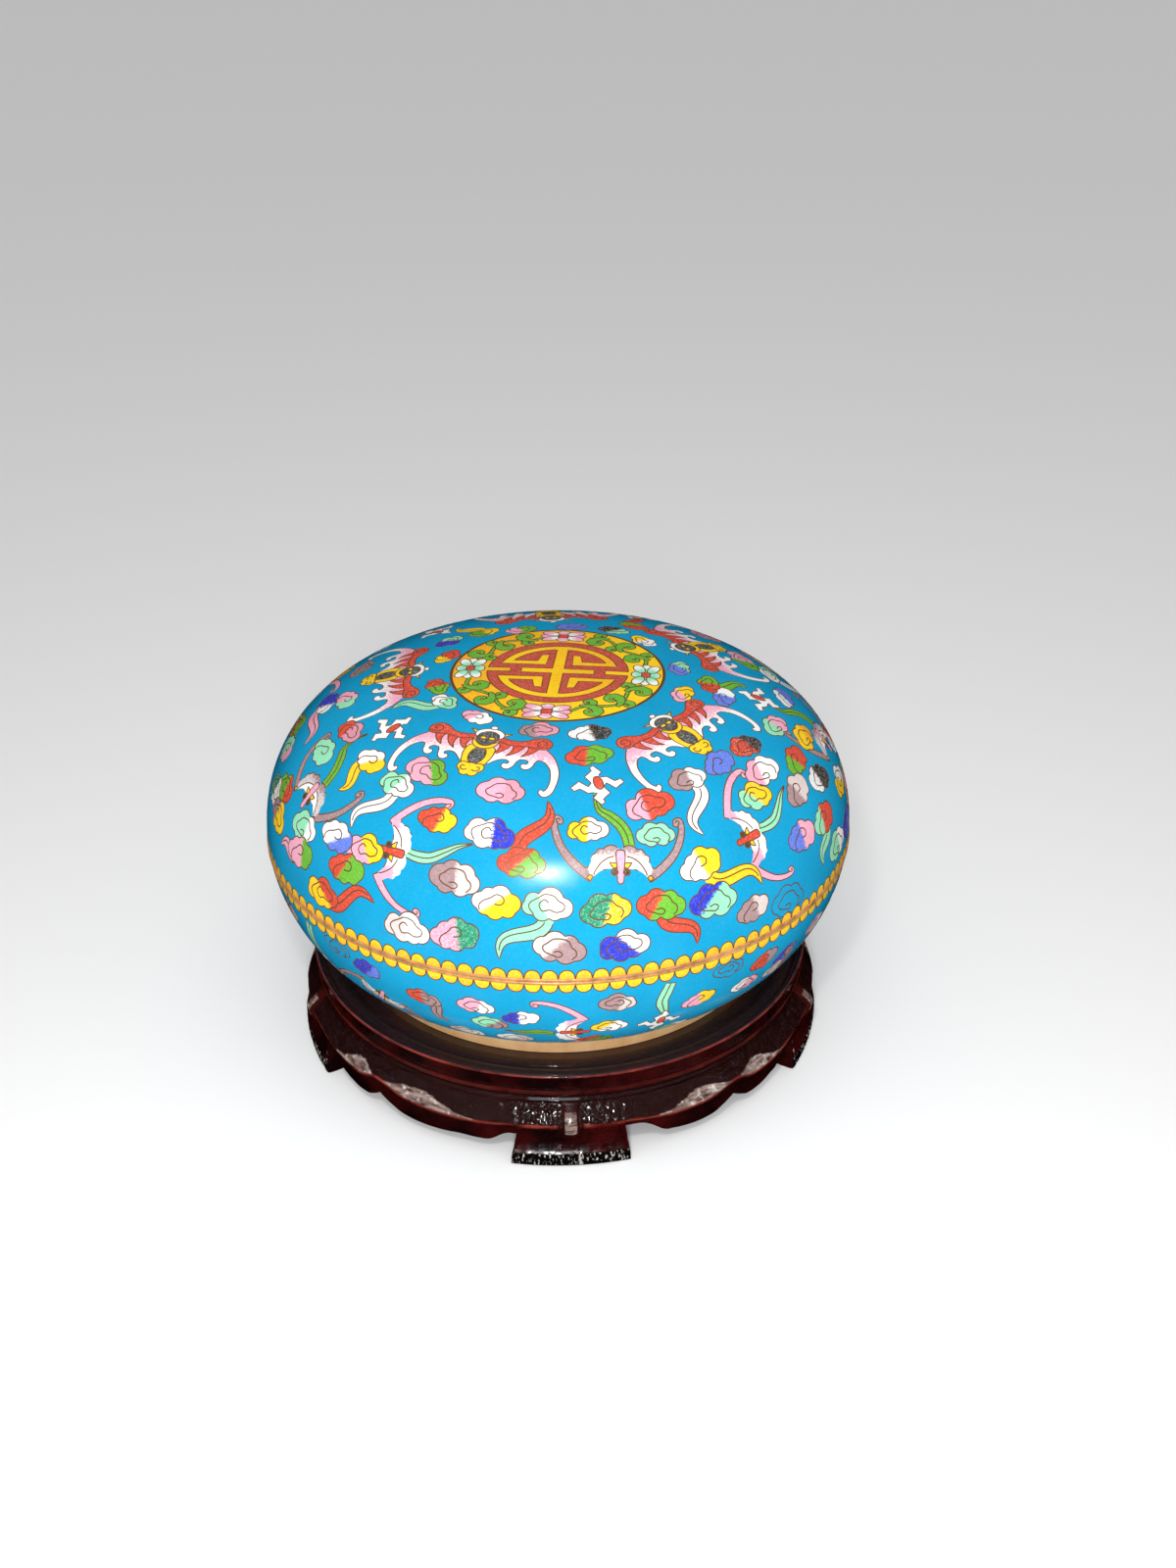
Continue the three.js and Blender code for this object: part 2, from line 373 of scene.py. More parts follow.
def wire_piece(sheet, runs, name, material, node):
    """Flat wires set on edge in the enamel: at each point of a run a section of four corners,
    two sunk in the enamel and two just proud of it, joined to the next section and capped."""
    line = np.concatenate([run for run, closed in runs])
    counts = np.array([len(run) for run, closed in runs])
    closed = np.array([c for run, c in runs])
    last = np.cumsum(counts) - 1
    first = last - counts + 1
    after = np.arange(1, len(line) + 1)
    before = np.arange(-1, len(line) - 1)
    after[last] = np.where(closed, first, last)
    before[first] = np.where(closed, last, first)
    points, normals = sheet.skin.lift(line)
    way = points[after] - points[before]
    side = np.cross(normals, way)
    side /= np.maximum(np.linalg.norm(side, axis=1), 1e-9)[:, None]
    sections = np.stack([
        points - side * WIRE_HALF - normals * WIRE_SUNK,
        points - side * WIRE_HALF + normals * WIRE_PROUD,
        points + side * WIRE_HALF + normals * WIRE_PROUD,
        points + side * WIRE_HALF - normals * WIRE_SUNK,
    ], 1)
    start = np.flatnonzero(after != np.arange(len(line)))
    k = np.arange(4)
    k2 = (k + 1) % 4
    walls = np.stack([
        4 * start[:, None] + k, 4 * start[:, None] + k2,
        4 * after[start][:, None] + k2, 4 * after[start][:, None] + k,
    ], 2).reshape(-1, 4)
    opened = ~closed
    caps = np.concatenate([4 * first[opened][:, None] + k[::-1], 4 * last[opened][:, None] + k])
    piece(name, sections.reshape(-1, 3), np.concatenate([walls, caps]), material, "gilt", node,
          smooth=False)


def softened(profile, radius, steps=4):
    """A closed profile with its corners eased: each corner is replaced by a parabola that leaves
    the side before it and joins the side after it `radius` mm away, or less on short sides."""
    p = np.array(profile, float)
    before, after = np.roll(p, 1, 0) - p, np.roll(p, -1, 0) - p
    long_before, long_after = np.linalg.norm(before, axis=1), np.linalg.norm(after, axis=1)
    cut = np.minimum(radius, 0.45 * np.minimum(long_before, long_after))
    start = p + before * (cut / long_before)[:, None]
    end = p + after * (cut / long_after)[:, None]
    t = np.linspace(0, 1, steps)[None, :, None]
    eased = (1 - t) ** 2 * start[:, None] + 2 * t * (1 - t) * p[:, None] + t ** 2 * end[:, None]
    on_axis = p[:, 0] < 1e-6
    rows = [p[k:k + 1] if on_axis[k] else eased[k] for k in range(len(p))]
    return [tuple(row) for row in np.concatenate(rows)]


def turned(name, profile, material, slot, *nodes, segments=256, marks=None):
    """A closed profile of (radius, height) pairs in mm carried round the axis. It runs up the
    outside and back down the inside; ends that lie on the axis become poles."""
    profile = np.array(profile, float)
    poles = profile[0, 0] < 1e-6
    rows = profile[1:-1] if poles else profile
    t = np.arange(segments) * 2 * np.pi / segments
    points = np.stack([rows[:, :1] * np.cos(t), rows[:, :1] * np.sin(t),
                       np.repeat(rows[:, 1:], segments, 1)], 2)
    points = points.reshape(-1, 3)
    many = len(rows)
    i = np.arange(many - 1 if poles else many)[:, None]
    j = np.arange(segments)
    i2, j2 = (i + 1) % many * segments, (j + 1) % segments
    i = i * segments
    quads = np.stack([i + j, i + j2, i2 + j2, i2 + j], 2).reshape(-1, 4)
    faces = np.concatenate([quads[:, [0, 1, 2]], quads[:, [0, 2, 3]]])
    if poles:
        low, top = len(points), (many - 1) * segments
        points = np.concatenate([points, [[0, 0, profile[0, 1]], [0, 0, profile[-1, 1]]]])
        j2 = (j + 1) % segments
        faces = np.concatenate([faces, np.stack([low + 0 * j, j2, j], 1),
                                np.stack([low + 1 + 0 * j, top + j, top + j2], 1)])
    made = piece(name, points, faces, material, slot, *nodes)
    made.data.set_sharp_from_angle(angle=math.radians(50))
    for mark, values in (marks or {}).items():
        values = np.repeat(np.asarray(values, float)[1:-1] if poles else values, segments)
        marked(made, mark, np.append(values, [0, 0]) if poles else values)
    return made


def marked(made, name, values):
    """Stores one number for each point of a mesh."""
    layer = made.data.attributes.new(name, "FLOAT", "POINT")
    layer.data.foreach_set("value", np.asarray(values, np.float32))


# ---------------------------------------------------------------- the carved apron
def smooth(low, high, x):
    """0 below low, 1 above high, and 3 t^2 - 2 t^3 between."""
    t = np.clip((x - low) / (high - low), 0, 1)
    return t * t * (3 - 2 * t)


def hump(middle, half, x):
    """1 - ((x - middle) / half)^2, never below 0."""
    return np.maximum(0, 1 - ((x - middle) / half) ** 2)


FEET = (2.8, 72.6, 144.6, 216.6, 288.8)          # degrees from the front, growing to the right
CUSPS = (39.8, 108.6, 180.6, 252.7, 319.4)       # each follows the foot before it
FOOT_EDGE = 10.9                                 # degrees from a foot's middle to its side
RIDGE = 139.6                                    # radius of the bright ridge


def leaf_shape(u):
    """How full the scooped leaf is at u degrees from the foot: sin(pi s ** 1.6), s from 0 to 1."""
    return np.where((u > 16) & (u < 34.6), np.sin(np.pi * (np.clip(u - 16, 0, 18.6) / 18.6) ** 1.6), 0)


def half_bay(u, notch, falls):
    """Corners (degrees added, radius, height) of the apron's section at stations u, 0 in the
    middle of a foot and 36 at the cusp, from the joint with the tray down the face, under the
    lower edge and back up inside."""
    foot = u < FOOT_EDGE
    lobe = 10 - 1.6 * hump(27, 6, u)
    low = lobe + (notch - 10) * (1 - smooth(*falls, u)) + 5 * (np.maximum(0, u - 31) / 5) ** 1.6
    ridge = 24 - 1.6 * hump(23, 11, u) + 2.4 * smooth(29, 36, u)
    lug = np.sqrt(hump(0, 1.8, u))
    leaf = leaf_shape(u)
    pocket = smooth(32, 36, u)
    deep = ridge - low
    f = (u / FOOT_EDGE) ** 8
    no = 0 * u
    top = tray_low.z
    rows = [
        (no, no + 131.4, no + top),
        (no, 131.8 + 1.2 * lug - 1.4 * pocket, no + 31.6),
        (no, 134.8 + 3.4 * lug - 0.9 * leaf - 2.2 * pocket, no + 28.4),
        (no, 137.4 + 3.2 * lug - 1.3 * leaf - 1.4 * pocket, ridge + 2.2),
        (no, RIDGE + 2.2 * lug - 0.5 * pocket, ridge),
    ]
    of_foot = [
        (-0.5 * f, 136.8 + 4 * lug, no + 18), (-0.7 * f, no + 136.8, no + 13), (0.1 * f, no + 139.8, no + 9),
        (0.9 * f, no + 141.8, no + 7.4), (1.1 * f, no + 141.9, no), (1.1 * f, no + 130, no), (no,
            no + 126.4, no + 12),
    ]
    of_bay = [(no, RIDGE - back * smooth(0, reach_down, deep), ridge - share * deep) for back, reach_down,
              share in (
        (0.9, 8, 0.25), (1.4, 9, 0.55), (1.8, 9, 0.78), (2.2, 9, 0.92), (2.6, 9, 1.0))]
    of_bay += [(no, no + 127.6, low), (no, no + 125.6, low + 0.5 * (top - low))]
    rows += [tuple(np.where(foot, a, b) for a, b in zip(*pair)) for pair in zip(of_foot, of_bay)]
    rows.append((no, no + 124.5, no + top))
    return np.array(rows)          # corner, (degrees, radius, height), station


def eased(values, times, axes=(0, 1)):
    """The values averaged with their neighbours, weights 1 2 1, along each axis in turn."""
    for axis in axes * times:
        values = (np.roll(values, 1, axis) + 2 * values + np.roll(values, -1, axis)) / 4
    return values


def carved_apron():
    """The apron: 13 corners at each station, each side of the section cut in six and eased,
    with the rough ground, the leaf scoops and the ribbed foot bands carved into it."""
    stations = np.concatenate([
        1.8 * np.sin(np.linspace(0, np.pi / 2, 11)), np.linspace(2.0, 10.3, 44), [10.6, 10.76, 10.86],
        [10.94, 11.1], np.linspace(11.4, 36, 56),
    ])
    around = []
    for k in range(5):
        after = CUSPS[k] - FEET[k]
        nxt = (k + 1) % 5
        before = (FEET[nxt] - CUSPS[k]) % 360
        left = (16.5, (12, 16)) if nxt == 0 else (19, (13.5, 20))
        right = (21, (13.5, 20.6)) if k == 0 else (19, (13.5, 20))
        for foot, side, gap, cut, u in ((FEET[k], 1, after, right, stations[:-1]),
                                        (FEET[nxt], -1, before, left, stations[:0:-1])):
            corners = half_bay(u, *cut)
            along = np.minimum(u, 11) + np.maximum(0, u - 11) * (gap - 11) / 25
            corners[:, 0] = foot + side * (along + corners[:, 0])
            around.append((corners, u))
    u = np.concatenate([one[1] for one in around])
    corners = np.concatenate([one[0] for one in around], 2)
    corners[:, 0] = np.degrees(np.unwrap(np.radians(corners[:, 0]), axis=1))
    cuts = 6
    t = np.arange(cuts)[:, None, None] / cuts
    rows = np.concatenate([(1 - t) * corners[k] + t * corners[(k + 1) % 13] for k in range(13)])
    rows = eased(rows, 3, (0,))
    angle, radius, height = rows[:, 0], rows[:, 1], rows[:, 2]
    row = np.arange(len(rows))[:, None] / cuts       # 0 at the joint, 4 at the ridge
    many = len(u)
    rng = np.random.default_rng(11)
    rough = eased(rng.random((len(rows), many)), 2)
    coarse = eased(rng.random((len(rows), many)), 7)
    rough = (rough - 0.5) / rough.std()
    coarse = (coarse - 0.5) / coarse.std()
    leaf = leaf_shape(u)
    # share of the way from the ridge up to the joint; the scoop fills its lower part
    share = np.clip((4 - row) / 2.6, 0, 2)
    full = 0.03 + 0.66 * leaf ** 1.2
    scoop = (row < 3.9) * (share < full) * (leaf > 0.03)
    lug = (u < 1.9) * (row < 5.2)
    ground = (row > 0.25) * (row < 3.75) * (1 - scoop) * (1 - lug)
    rim = np.exp(-((row - 4.0) / 0.3) ** 2) * (1 - lug)
    radius = radius + ground * (0.16 * rough + 0.22 * coarse - 0.25)
    radius = radius - 0.55 * scoop * np.sin(np.pi * np.clip(share / full, 0, 1))
    radius = radius + 0.05 * coarse * (row > 4.2) * (row < 9)
    foot = u < FOOT_EDGE
    band = foot * (row > 7.8) * (row < 8.95)
    pitch = 2 * np.pi * u / 0.9
    ribs = abs(np.sin(pitch / 2 + 0.6 * np.sin(3 * pitch / 7))) * (0.6 + 0.4 * np.sin(u * 4.7))
    radius = radius - band * (0.55 * ribs + 0.12 * abs(rough))
    radius = radius - 0.5 * foot * np.exp(-((height - 2.3) / 0.45) ** 2) * (row > 8) * (row < 9.2)
    a = np.radians(angle - 90)
    points = np.stack([radius * np.cos(a), radius * np.sin(a), np.maximum(height, 0)], 2).reshape(-1, 3)
    i = np.arange(len(rows))[:, None]
    j = np.arange(many)
    i2, j2 = (i + 1) % len(rows) * many, (j + 1) % many
    i = i * many
    quads = np.stack([i + j, i2 + j, i2 + j2, i + j2], 2).reshape(-1, 4)
    made = piece("carved_apron", points, quads, lacquer, "lacquered_wood", "stand_apron")
    made.data.set_sharp_from_angle(angle=math.radians(42))
    # painted shade: a crease either side of the lug, in the recess beside it, takes the dark gritty mark of
    # the carved ground
    crease = np.exp(-((u - 2.3) / 0.35) ** 2) * (row > 0.5) * (row < 5.6)
    marked(made, "dug_and_shade", np.clip(ground + crease, 0, 1).ravel())
    marked(made, "ribbed", band.ravel())
    # painted highlight: the ridge line, and faintly the lug, take the light red-brown
    marked(made, "edge_highlight", np.clip(rim + 0.1 * lug, 0, 1).ravel())
    # the scoops take the greyish rose, partly their own tone and partly painted reflection; the lug's top
    # takes it as a painted highlight
    marked(made, "leaf_tone_and_sheen", np.clip(scoop + 0.7 * lug * (u < 1.2) * (row > 1.5) * (row < 4.6), 0, 1).ravel())


# ---------------------------------------------------------------- finishes
def material(name):
    made = bpy.data.materials.new(name)
    made.use_nodes = True
    tree = made.node_tree
    shader = tree.nodes["Principled BSDF"]
    return made, tree, shader


def node(tree, kind, **values):
    """A shader node; plain values are set by socket name, with _ for a space, and linked sockets
    are given as (node, output name)."""
    made = tree.nodes.new(kind)
    for key, value in values.items():
        if hasattr(made, key) and key not in made.inputs:
            setattr(made, key, value)
            continue
        numbered = key[0] == "i" and key[1:].isdigit()
        socket = made.inputs[int(key[1:]) if numbered else key.replace("_", " ")]
        if isinstance(value, bpy.types.NodeSocket):
            tree.links.new(value, socket)
        else:
            socket.default_value = value
    return made


def noise(tree, where, per_mm, detail=2.0, rough=0.5):
    """Cloud noise with features about 1 / per_mm wide; output 0 to 1, mean about a half."""
    return node(tree, "ShaderNodeTexNoise", Vector=where, Scale=per_mm / MM, Detail=detail,
                Roughness=rough).outputs["Fac"]


def spread(tree, value, low, high, to_low=0.0, to_high=1.0):
    return node(tree, "ShaderNodeMapRange", Value=value, From_Min=low, From_Max=high,
                To_Min=to_low, To_Max=to_high).outputs["Result"]


def sums(tree, operation, a, b):
    return node(tree, "ShaderNodeMath", operation=operation, i0=a, i1=b).outputs[0]


def blended(tree, factor, a, b, way="MIX"):
    made = tree.nodes.new("ShaderNodeMix")
    made.data_type = "RGBA"
    made.blend_type = way
    for index, value in ((0, factor), (6, a), (7, b)):
        if isinstance(value, bpy.types.NodeSocket):
            tree.links.new(value, made.inputs[index])
        else:
            made.inputs[index].default_value = value
    return made.outputs[2]


def attribute(tree, name, output):
    return node(tree, "ShaderNodeAttribute", attribute_name=name).outputs[output]


def grey(value):
    return (value, value, value, 1)


def fired_enamel():
    """Polished glass: two glasses meet on a ragged line, coarse ground grains show through,
    with a few dark pin holes and pale bubbles."""
    made, tree, shader = material("fired_enamel")
    where = node(tree, "ShaderNodeTexCoord").outputs["Object"]
    ragged = spread(tree, noise(tree, where, 0.9, 3, 0.65), 0.3, 0.7, -0.75, 0.75)
    line = sums(tree, "ADD", attribute(tree, "meeting", "Fac"), ragged)
    factor = spread(tree, line, -0.5, 0.5)
    glass = blended(tree, factor, attribute(tree, "glass_left", "Color"),
                    attribute(tree, "glass_right", "Color"))
    # cloudy firing, then grains of ground glass
    cloudy = spread(tree, noise(tree, where, 0.035, 3), 0.3, 0.7, 0.93, 1.06)
    glass = blended(tree, 1.0, glass, node(tree, "ShaderNodeCombineColor", Red=cloudy, Green=cloudy,
                                          Blue=cloudy).outputs[0], "MULTIPLY")
    cells = node(tree, "ShaderNodeTexVoronoi", Vector=where, Scale=1.9 / MM)
    speck = node(tree, "ShaderNodeSeparateColor", Color=cells.outputs["Color"]).outputs[0]
    grain = attribute(tree, "grain", "Fac")
    dark = sums(tree, "MULTIPLY", spread(tree, speck, 0.45, 1.0, 0.0, 0.42), grain)
    glass = blended(tree, dark, glass, grey(0.02))
    light = sums(tree, "MULTIPLY", spread(tree, speck, 0.4, 0.0, 0.0, 0.3), grain)
    glass = blended(tree, light, glass, grey(0.85))
    holes = node(tree, "ShaderNodeTexVoronoi", Vector=where, Scale=0.16 / MM, Randomness=1.0)
    pin = spread(tree, holes.outputs["Distance"], 0.035, 0.06, 1.0, 0.0)
    some = spread(tree, node(tree, "ShaderNodeSeparateColor", Color=holes.outputs["Color"]).outputs[1],
                  0.55, 0.56)
    pin = sums(tree, "MULTIPLY", pin, some)
    glass = blended(tree, sums(tree, "MULTIPLY", pin, 0.75), glass, (0.02, 0.05, 0.06, 1))
    tree.links.new(glass, shader.inputs["Base Color"])
    rough = spread(tree, noise(tree, where, 0.05, 4), 0.3, 0.7, 0.13, 0.24)
    tree.links.new(sums(tree, "ADD", rough, sums(tree, "MULTIPLY", grain, 0.08)), shader.inputs["Roughness"])
    waves = noise(tree, where, 0.03, 2)
    ripple = noise(tree, where, 0.5, 2)
    height = sums(tree, "ADD", waves, sums(tree, "MULTIPLY", ripple, 0.035))
    height = sums(tree, "SUBTRACT", height, sums(tree, "MULTIPLY", pin, 0.1))
    bump = node(tree, "ShaderNodeBump", Strength=0.5, Distance=0.0004, Height=height)
    tree.links.new(bump.outputs[0], shader.inputs["Normal"])
    shader.inputs["IOR"].default_value = 1.52
    shader.inputs["Coat Weight"].default_value = 0.25
    shader.inputs["Coat Roughness"].default_value = 0.05
    return made


def lining_enamel():
    """Plain turquoise enamel inside the box and under it, with faint orange-peel."""
    made, tree, shader = material("lining_enamel")
    where = node(tree, "ShaderNodeTexCoord").outputs["Object"]
    tint = spread(tree, noise(tree, where, 0.04, 4), 0.3, 0.7)
    glass = blended(tree, tint, (*linear((10, 132, 178)), 1), (*linear((24, 160, 200)), 1))
    specks = spread(tree, noise(tree, where, 1.3, 2), 0.66, 0.72)
    tree.links.new(blended(tree, sums(tree, "MULTIPLY", specks, 0.5), glass, (0.01, 0.05, 0.08, 1)),
                   shader.inputs["Base Color"])
    bump = node(tree, "ShaderNodeBump", Strength=0.4, Distance=0.0004, Height=noise(tree, where, 0.2, 3))
    tree.links.new(bump.outputs[0], shader.inputs["Normal"])
    shader.inputs["Roughness"].default_value = 0.22
    return made


def metal(name, bright, dull, per_mm, rough_low, rough_high, metallic):
    """Worn metal: a bright and a dull tone in soft patches, roughness following them."""
    made, tree, shader = material(name)
    where = node(tree, "ShaderNodeTexCoord").outputs["Object"]
    patchy_mix = spread(tree, noise(tree, where, per_mm, 5, 0.6), 0.35, 0.68)
    tree.links.new(blended(tree, patchy_mix, (*linear(bright), 1), (*linear(dull), 1)), shader.inputs["Base Color"])
    tree.links.new(spread(tree, patchy_mix, 0, 1, rough_low, rough_high), shader.inputs["Roughness"])
    bump = node(tree, "ShaderNodeBump", Strength=0.25, Distance=0.0002, Height=noise(tree, where, 0.8, 3))
    tree.links.new(bump.outputs[0], shader.inputs["Normal"])
    shader.inputs["Metallic"].default_value = metallic
    return made


def wire_metal():
    """Thin gilt wire, darkened."""
    made, _, shader = material("wire_metal")
    shader.inputs["Base Color"].default_value = (*linear((136, 98, 68)), 1)
    shader.inputs["Metallic"].default_value = 0.5
    shader.inputs["Roughness"].default_value = 0.38
    return made


def dark_lacquer():
    """Nearly black wood under thick red-brown lacquer, redder in streaks. A painted highlight of light
    red-brown runs along the lip, the mouldings and the ridge. The scooped leaves are greyish rose,
    partly their own tone and partly painted reflection, with painted near-white reflections in
    streaks; the same tone is a painted highlight on the lugs. The ground is black and gritty where
    it is carved rough, and the same mark lays painted shade in the creases beside the lugs. The
    foot bands are black with painted glints."""
    made, tree, shader = material("dark_lacquer")
    where = node(tree, "ShaderNodeTexCoord").outputs["Object"]
    grain = node(tree, "ShaderNodeMapping", Vector=where, Scale=(1, 1, 7)).outputs[0]
    patches = spread(tree, noise(tree, where, 0.04, 4, 0.6), 0.4, 0.7)
    wood = blended(tree, patches, (*linear((18, 3, 4)), 1), (*linear((60, 7, 7)), 1))
    streak = spread(tree, noise(tree, grain, 0.1, 5, 0.7), 0.5, 0.7)
    wood = blended(tree, sums(tree, "MULTIPLY", streak, 0.7), wood, (*linear((10, 2, 2)), 1))
    # painted highlight: light red-brown laid in patches along the marked lip, mouldings and ridge
    patchy_mix = sums(tree, "MULTIPLY", attribute(tree, "edge_highlight", "Fac"),
                spread(tree, noise(tree, where, 0.05, 4, 0.6), 0.38, 0.62, 0.12, 0.9))
    wood = blended(tree, patchy_mix, wood, (*linear((146, 56, 46)), 1))
    blotch = spread(tree, noise(tree, grain, 0.13, 3, 0.6), 0.35, 0.65)
    rosy = blended(tree, blotch, (*linear((70, 42, 38)), 1), (*linear((156, 136, 128)), 1))
    # painted reflection: near-white streaks over the greyish rose of the leaves, which is itself partly
    # painted reflection
    pale = spread(tree, noise(tree, where, 0.3, 4, 0.7), 0.54, 0.68)
    rosy = blended(tree, pale, rosy, (*linear((206, 198, 190)), 1))
    wood = blended(tree, attribute(tree, "leaf_tone_and_sheen", "Fac"), wood, rosy)
    # dark grit where the ground is carved rough; the same mark carries painted shade in the creases beside
    # the lugs
    dug_and_shade = attribute(tree, "dug_and_shade", "Fac")
    grit = spread(tree, noise(tree, where, 0.9, 4, 0.75), 0.6, 0.72)
    ground = blended(tree, grit, (*linear((30, 8, 7)), 1), (*linear((88, 58, 50)), 1))
    wood = blended(tree, dug_and_shade, wood, ground)
    # painted glints: pale upright streaks on the ribbed foot bands
    upright = node(tree, "ShaderNodeMapping", Vector=where, Scale=(1, 1, 0.35)).outputs[0]
    painted_glints = spread(tree, noise(tree, upright, 0.75, 2, 0.6), 0.57, 0.64)
    painted_glints = sums(tree, "MULTIPLY", painted_glints, attribute(tree, "ribbed", "Fac"))
    wood = blended(tree, attribute(tree, "ribbed", "Fac"), wood, (*linear((8, 6, 6)), 1))
    wood = blended(tree, painted_glints, wood, (*linear((176, 172, 164)), 1))
    tree.links.new(wood, shader.inputs["Base Color"])
    shine = spread(tree, noise(tree, where, 0.25, 3), 0.3, 0.7, 0.1, 0.26)
    tree.links.new(sums(tree, "ADD", shine, sums(tree, "MULTIPLY", attribute(tree, "dulled", "Fac"),
        0.4)), shader.inputs["Roughness"])
    pits = sums(tree, "MULTIPLY", noise(tree, where, 1.0, 4, 0.7),
                sums(tree, "ADD", sums(tree, "MULTIPLY", dug_and_shade, 0.85), 0.05))
    pores = sums(tree, "MULTIPLY", noise(tree, grain, 0.3, 3, 0.7), 0.12)
    bump = node(tree, "ShaderNodeBump", Strength=0.9, Distance=0.001, Height=sums(tree, "ADD", pits, pores))
    tree.links.new(bump.outputs[0], shader.inputs["Normal"])
    tree.links.new(spread(tree, attribute(tree, "dulled", "Fac"), 0, 1, 0.8, 0.0),
                   shader.inputs["Coat Weight"])
    shader.inputs["Coat Roughness"].default_value = 0.06
    return made


# ---------------------------------------------------------------- motifs
CLOUD_LOBES = (
    ((-0.62, -0.02, 0.40), (-0.20, 0.20, 0.44), (0.34, 0.17, 0.38), (0.64, -0.10, 0.36),
     (0.28, -0.26, 0.38), (-0.32, -0.26, 0.36)),
    ((-0.66, -0.06, 0.34), (-0.34, 0.18, 0.34), (0.12, 0.24, 0.42), (0.60, 0.06, 0.40),
     (0.52, -0.22, 0.32), (0.02, -0.30, 0.36), (-0.40, -0.24, 0.32)),
    ((-0.60, -0.08, 0.40), (-0.10, 0.18, 0.48), (0.55, 0.12, 0.34), (0.66, -0.12, 0.32),
     (0.18, -0.28, 0.38), (-0.30, -0.28, 0.32)),
)
CLOUD_SCROLLS = (
    (-.2 - .2j, .01 - .16j, .15 - .27j, .02 - .4j, -.22 - .34j, -.52 - .24j, -.62 - .04j, -.46 + .12j,
     -.26 + .3j, .05 + .34j, .3 + .28j, .46 + .05j, .62 - .06j, .66 - .26j, .52 - .44j),
    (-.06 - .08j, .2 - .06j, .3 + .1j, .2 + .26j, -.04 + .3j, -.26 + .12j, -.52 - .04j, -.64 - .24j,
     -.58 - .44j),
    (-.04 + .09j, .14 + .2j, .32 - .0j, .18 - .24j, -.1 - .18j, -.34 - .26j, -.62 - .16j, -.64 + .06j,
     -.42 + .18j, -.22 + .36j, .12 + .4j, .36 + .26j, .66 + .06j, .7 - .14j, .5 - .4j),
)


def cloud(sheet, laid, half, left, right, form=0, seed=0, family="clouds"):
    """A ruyi cloud: lobes round a scroll. The two glasses meet across it."""
    wobble = np.sin(seed * np.array([2.4, 3.7, 1.3, 5.1, 4.4, 2.9, 6.2]))
    lobes = [(x * half, y * half, r * half * (1 + 0.07 * w)) for (x, y, r),
             w in zip(CLOUD_LOBES[form], wobble)]
    rough = 0.9 if "black" in (left, right) or "bottle" in (left, right) else 0.3
    glass = paint(left, right, towards=-18 + 30 * wobble[0], shift=half * (0.05 + 0.16 * wobble[1]),
                  soft=1.5, grain=rough)
    if left == "turquoise" and right == "turquoise":
        glass["grain"] = 0.1
    sheet.cell(laid, lobed(lobes, 60), glass, family)
    sheet.wire(laid, curve(np.array(CLOUD_SCROLLS[form]) * half, closed=False))


def tail(sheet, laid, tip, colour, bend=0.16, wide=2.8, family="clouds", base=0j):
    """A leaf-shaped cloud tail: its spine swings once either side of the straight line from base
    to tip, its half width is wide * (1 - t) ** 0.8 * (1 + 2.2 t), and a wire follows the spine."""
    t = np.linspace(0, 1, 30)
    path = base + (tip - base) * (t + 1j * bend * np.sin(2 * np.pi * t))
    half = wide * (1 - t) ** 0.8 * (1 + 2.2 * t)
    sheet.cell(laid, band(path, half), paint(colour), family)
    sheet.wire(laid, path[4:-3] + 0.2 * half[4:-3] * 1j)


def ribbon(sheet, laid, points, halves, colour, family="signs"):
    """A ribbon along a path whose half width is given at its ends and middle."""
    path = curve(points, closed=False)
    t = np.linspace(0, 1, len(path))
    half = np.interp(t, np.linspace(0, 1, len(halves)), halves)
    sheet.cell(laid, band(path, half), paint(colour), family)
    sheet.wire(laid, path)


WAN_HALF = (-2.6 + 1.4j, -4.9 + 5.2j, -1.2 + 8.4j, -1.7 + 10.4j, .2 + 11.4j, 3.2 + 7.2j, .9 + 4.8j,
            3 + 4.2j, 5 + 4.3j, 8.1 + 1.4j, 10.9 + 2.4j, 12.2 + .3j, 7.9 - 2.9j, 4.2 + .7j)


def wan_sign(sheet, laid):
    """The hooked sign of ten thousand blessings, tied at the middle with a red bead. Its second
    half is the first turned half way round."""
    half = np.repeat(WAN_HALF, 2)
    sheet.cell(laid, curve(np.append(half, -half), step=1.6), paint("white", grain=0.1), "signs")
    sheet.cell(laid, oval(.6 + 1.1j, 2.1, 3.9, 6), paint("red", "mauve", -90, 2.2), "signs")


RIM_OF_WING = (3 + 10j, 8 + 9j, 14 + 8.4j, 20 + 9.5j, 26 + 11j, 29 + 8j, 33 + 5j, 36.8 + .9j, 40.9 - 6.6j,
               42.4 - 15.5j, 41.9 - 21j, 39.2 - 23.4j, 36 - 21.2j, 36.3 - 18.8j, 38.1 - 19.6j,
               38.1 - 19.6j, 38.9 - 17j, 38.3 - 11.5j, 35.6 - 4.9j, 31.5 - 1j, 28.4 - .4j, 28.4 - .4j,
               27.6 - 2.4j, 27.4 - 5j, 26 - 7.4j, 23.6 - 7.8j, 21.9 - 6.2j, 22.4 - 4.4j, 24 - 4.4j,
               24 - 4.4j, 24.6 - 3j, 23.2 - 1.7j, 20.2 - 1.9j, 20.2 - 1.9j, 19.2 - 4j, 18.8 - 6.6j,
               17.2 - 9.2j, 14.8 - 9.4j, 13.2 - 7.8j, 13.8 - 6j, 15.5 - 6j, 15.5 - 6j, 15.9 - 4.6j,
               14.2 - 3.6j, 11.5 - 4j, 9 - 6j, 6.5 - 8.6j, 3 - 8j)
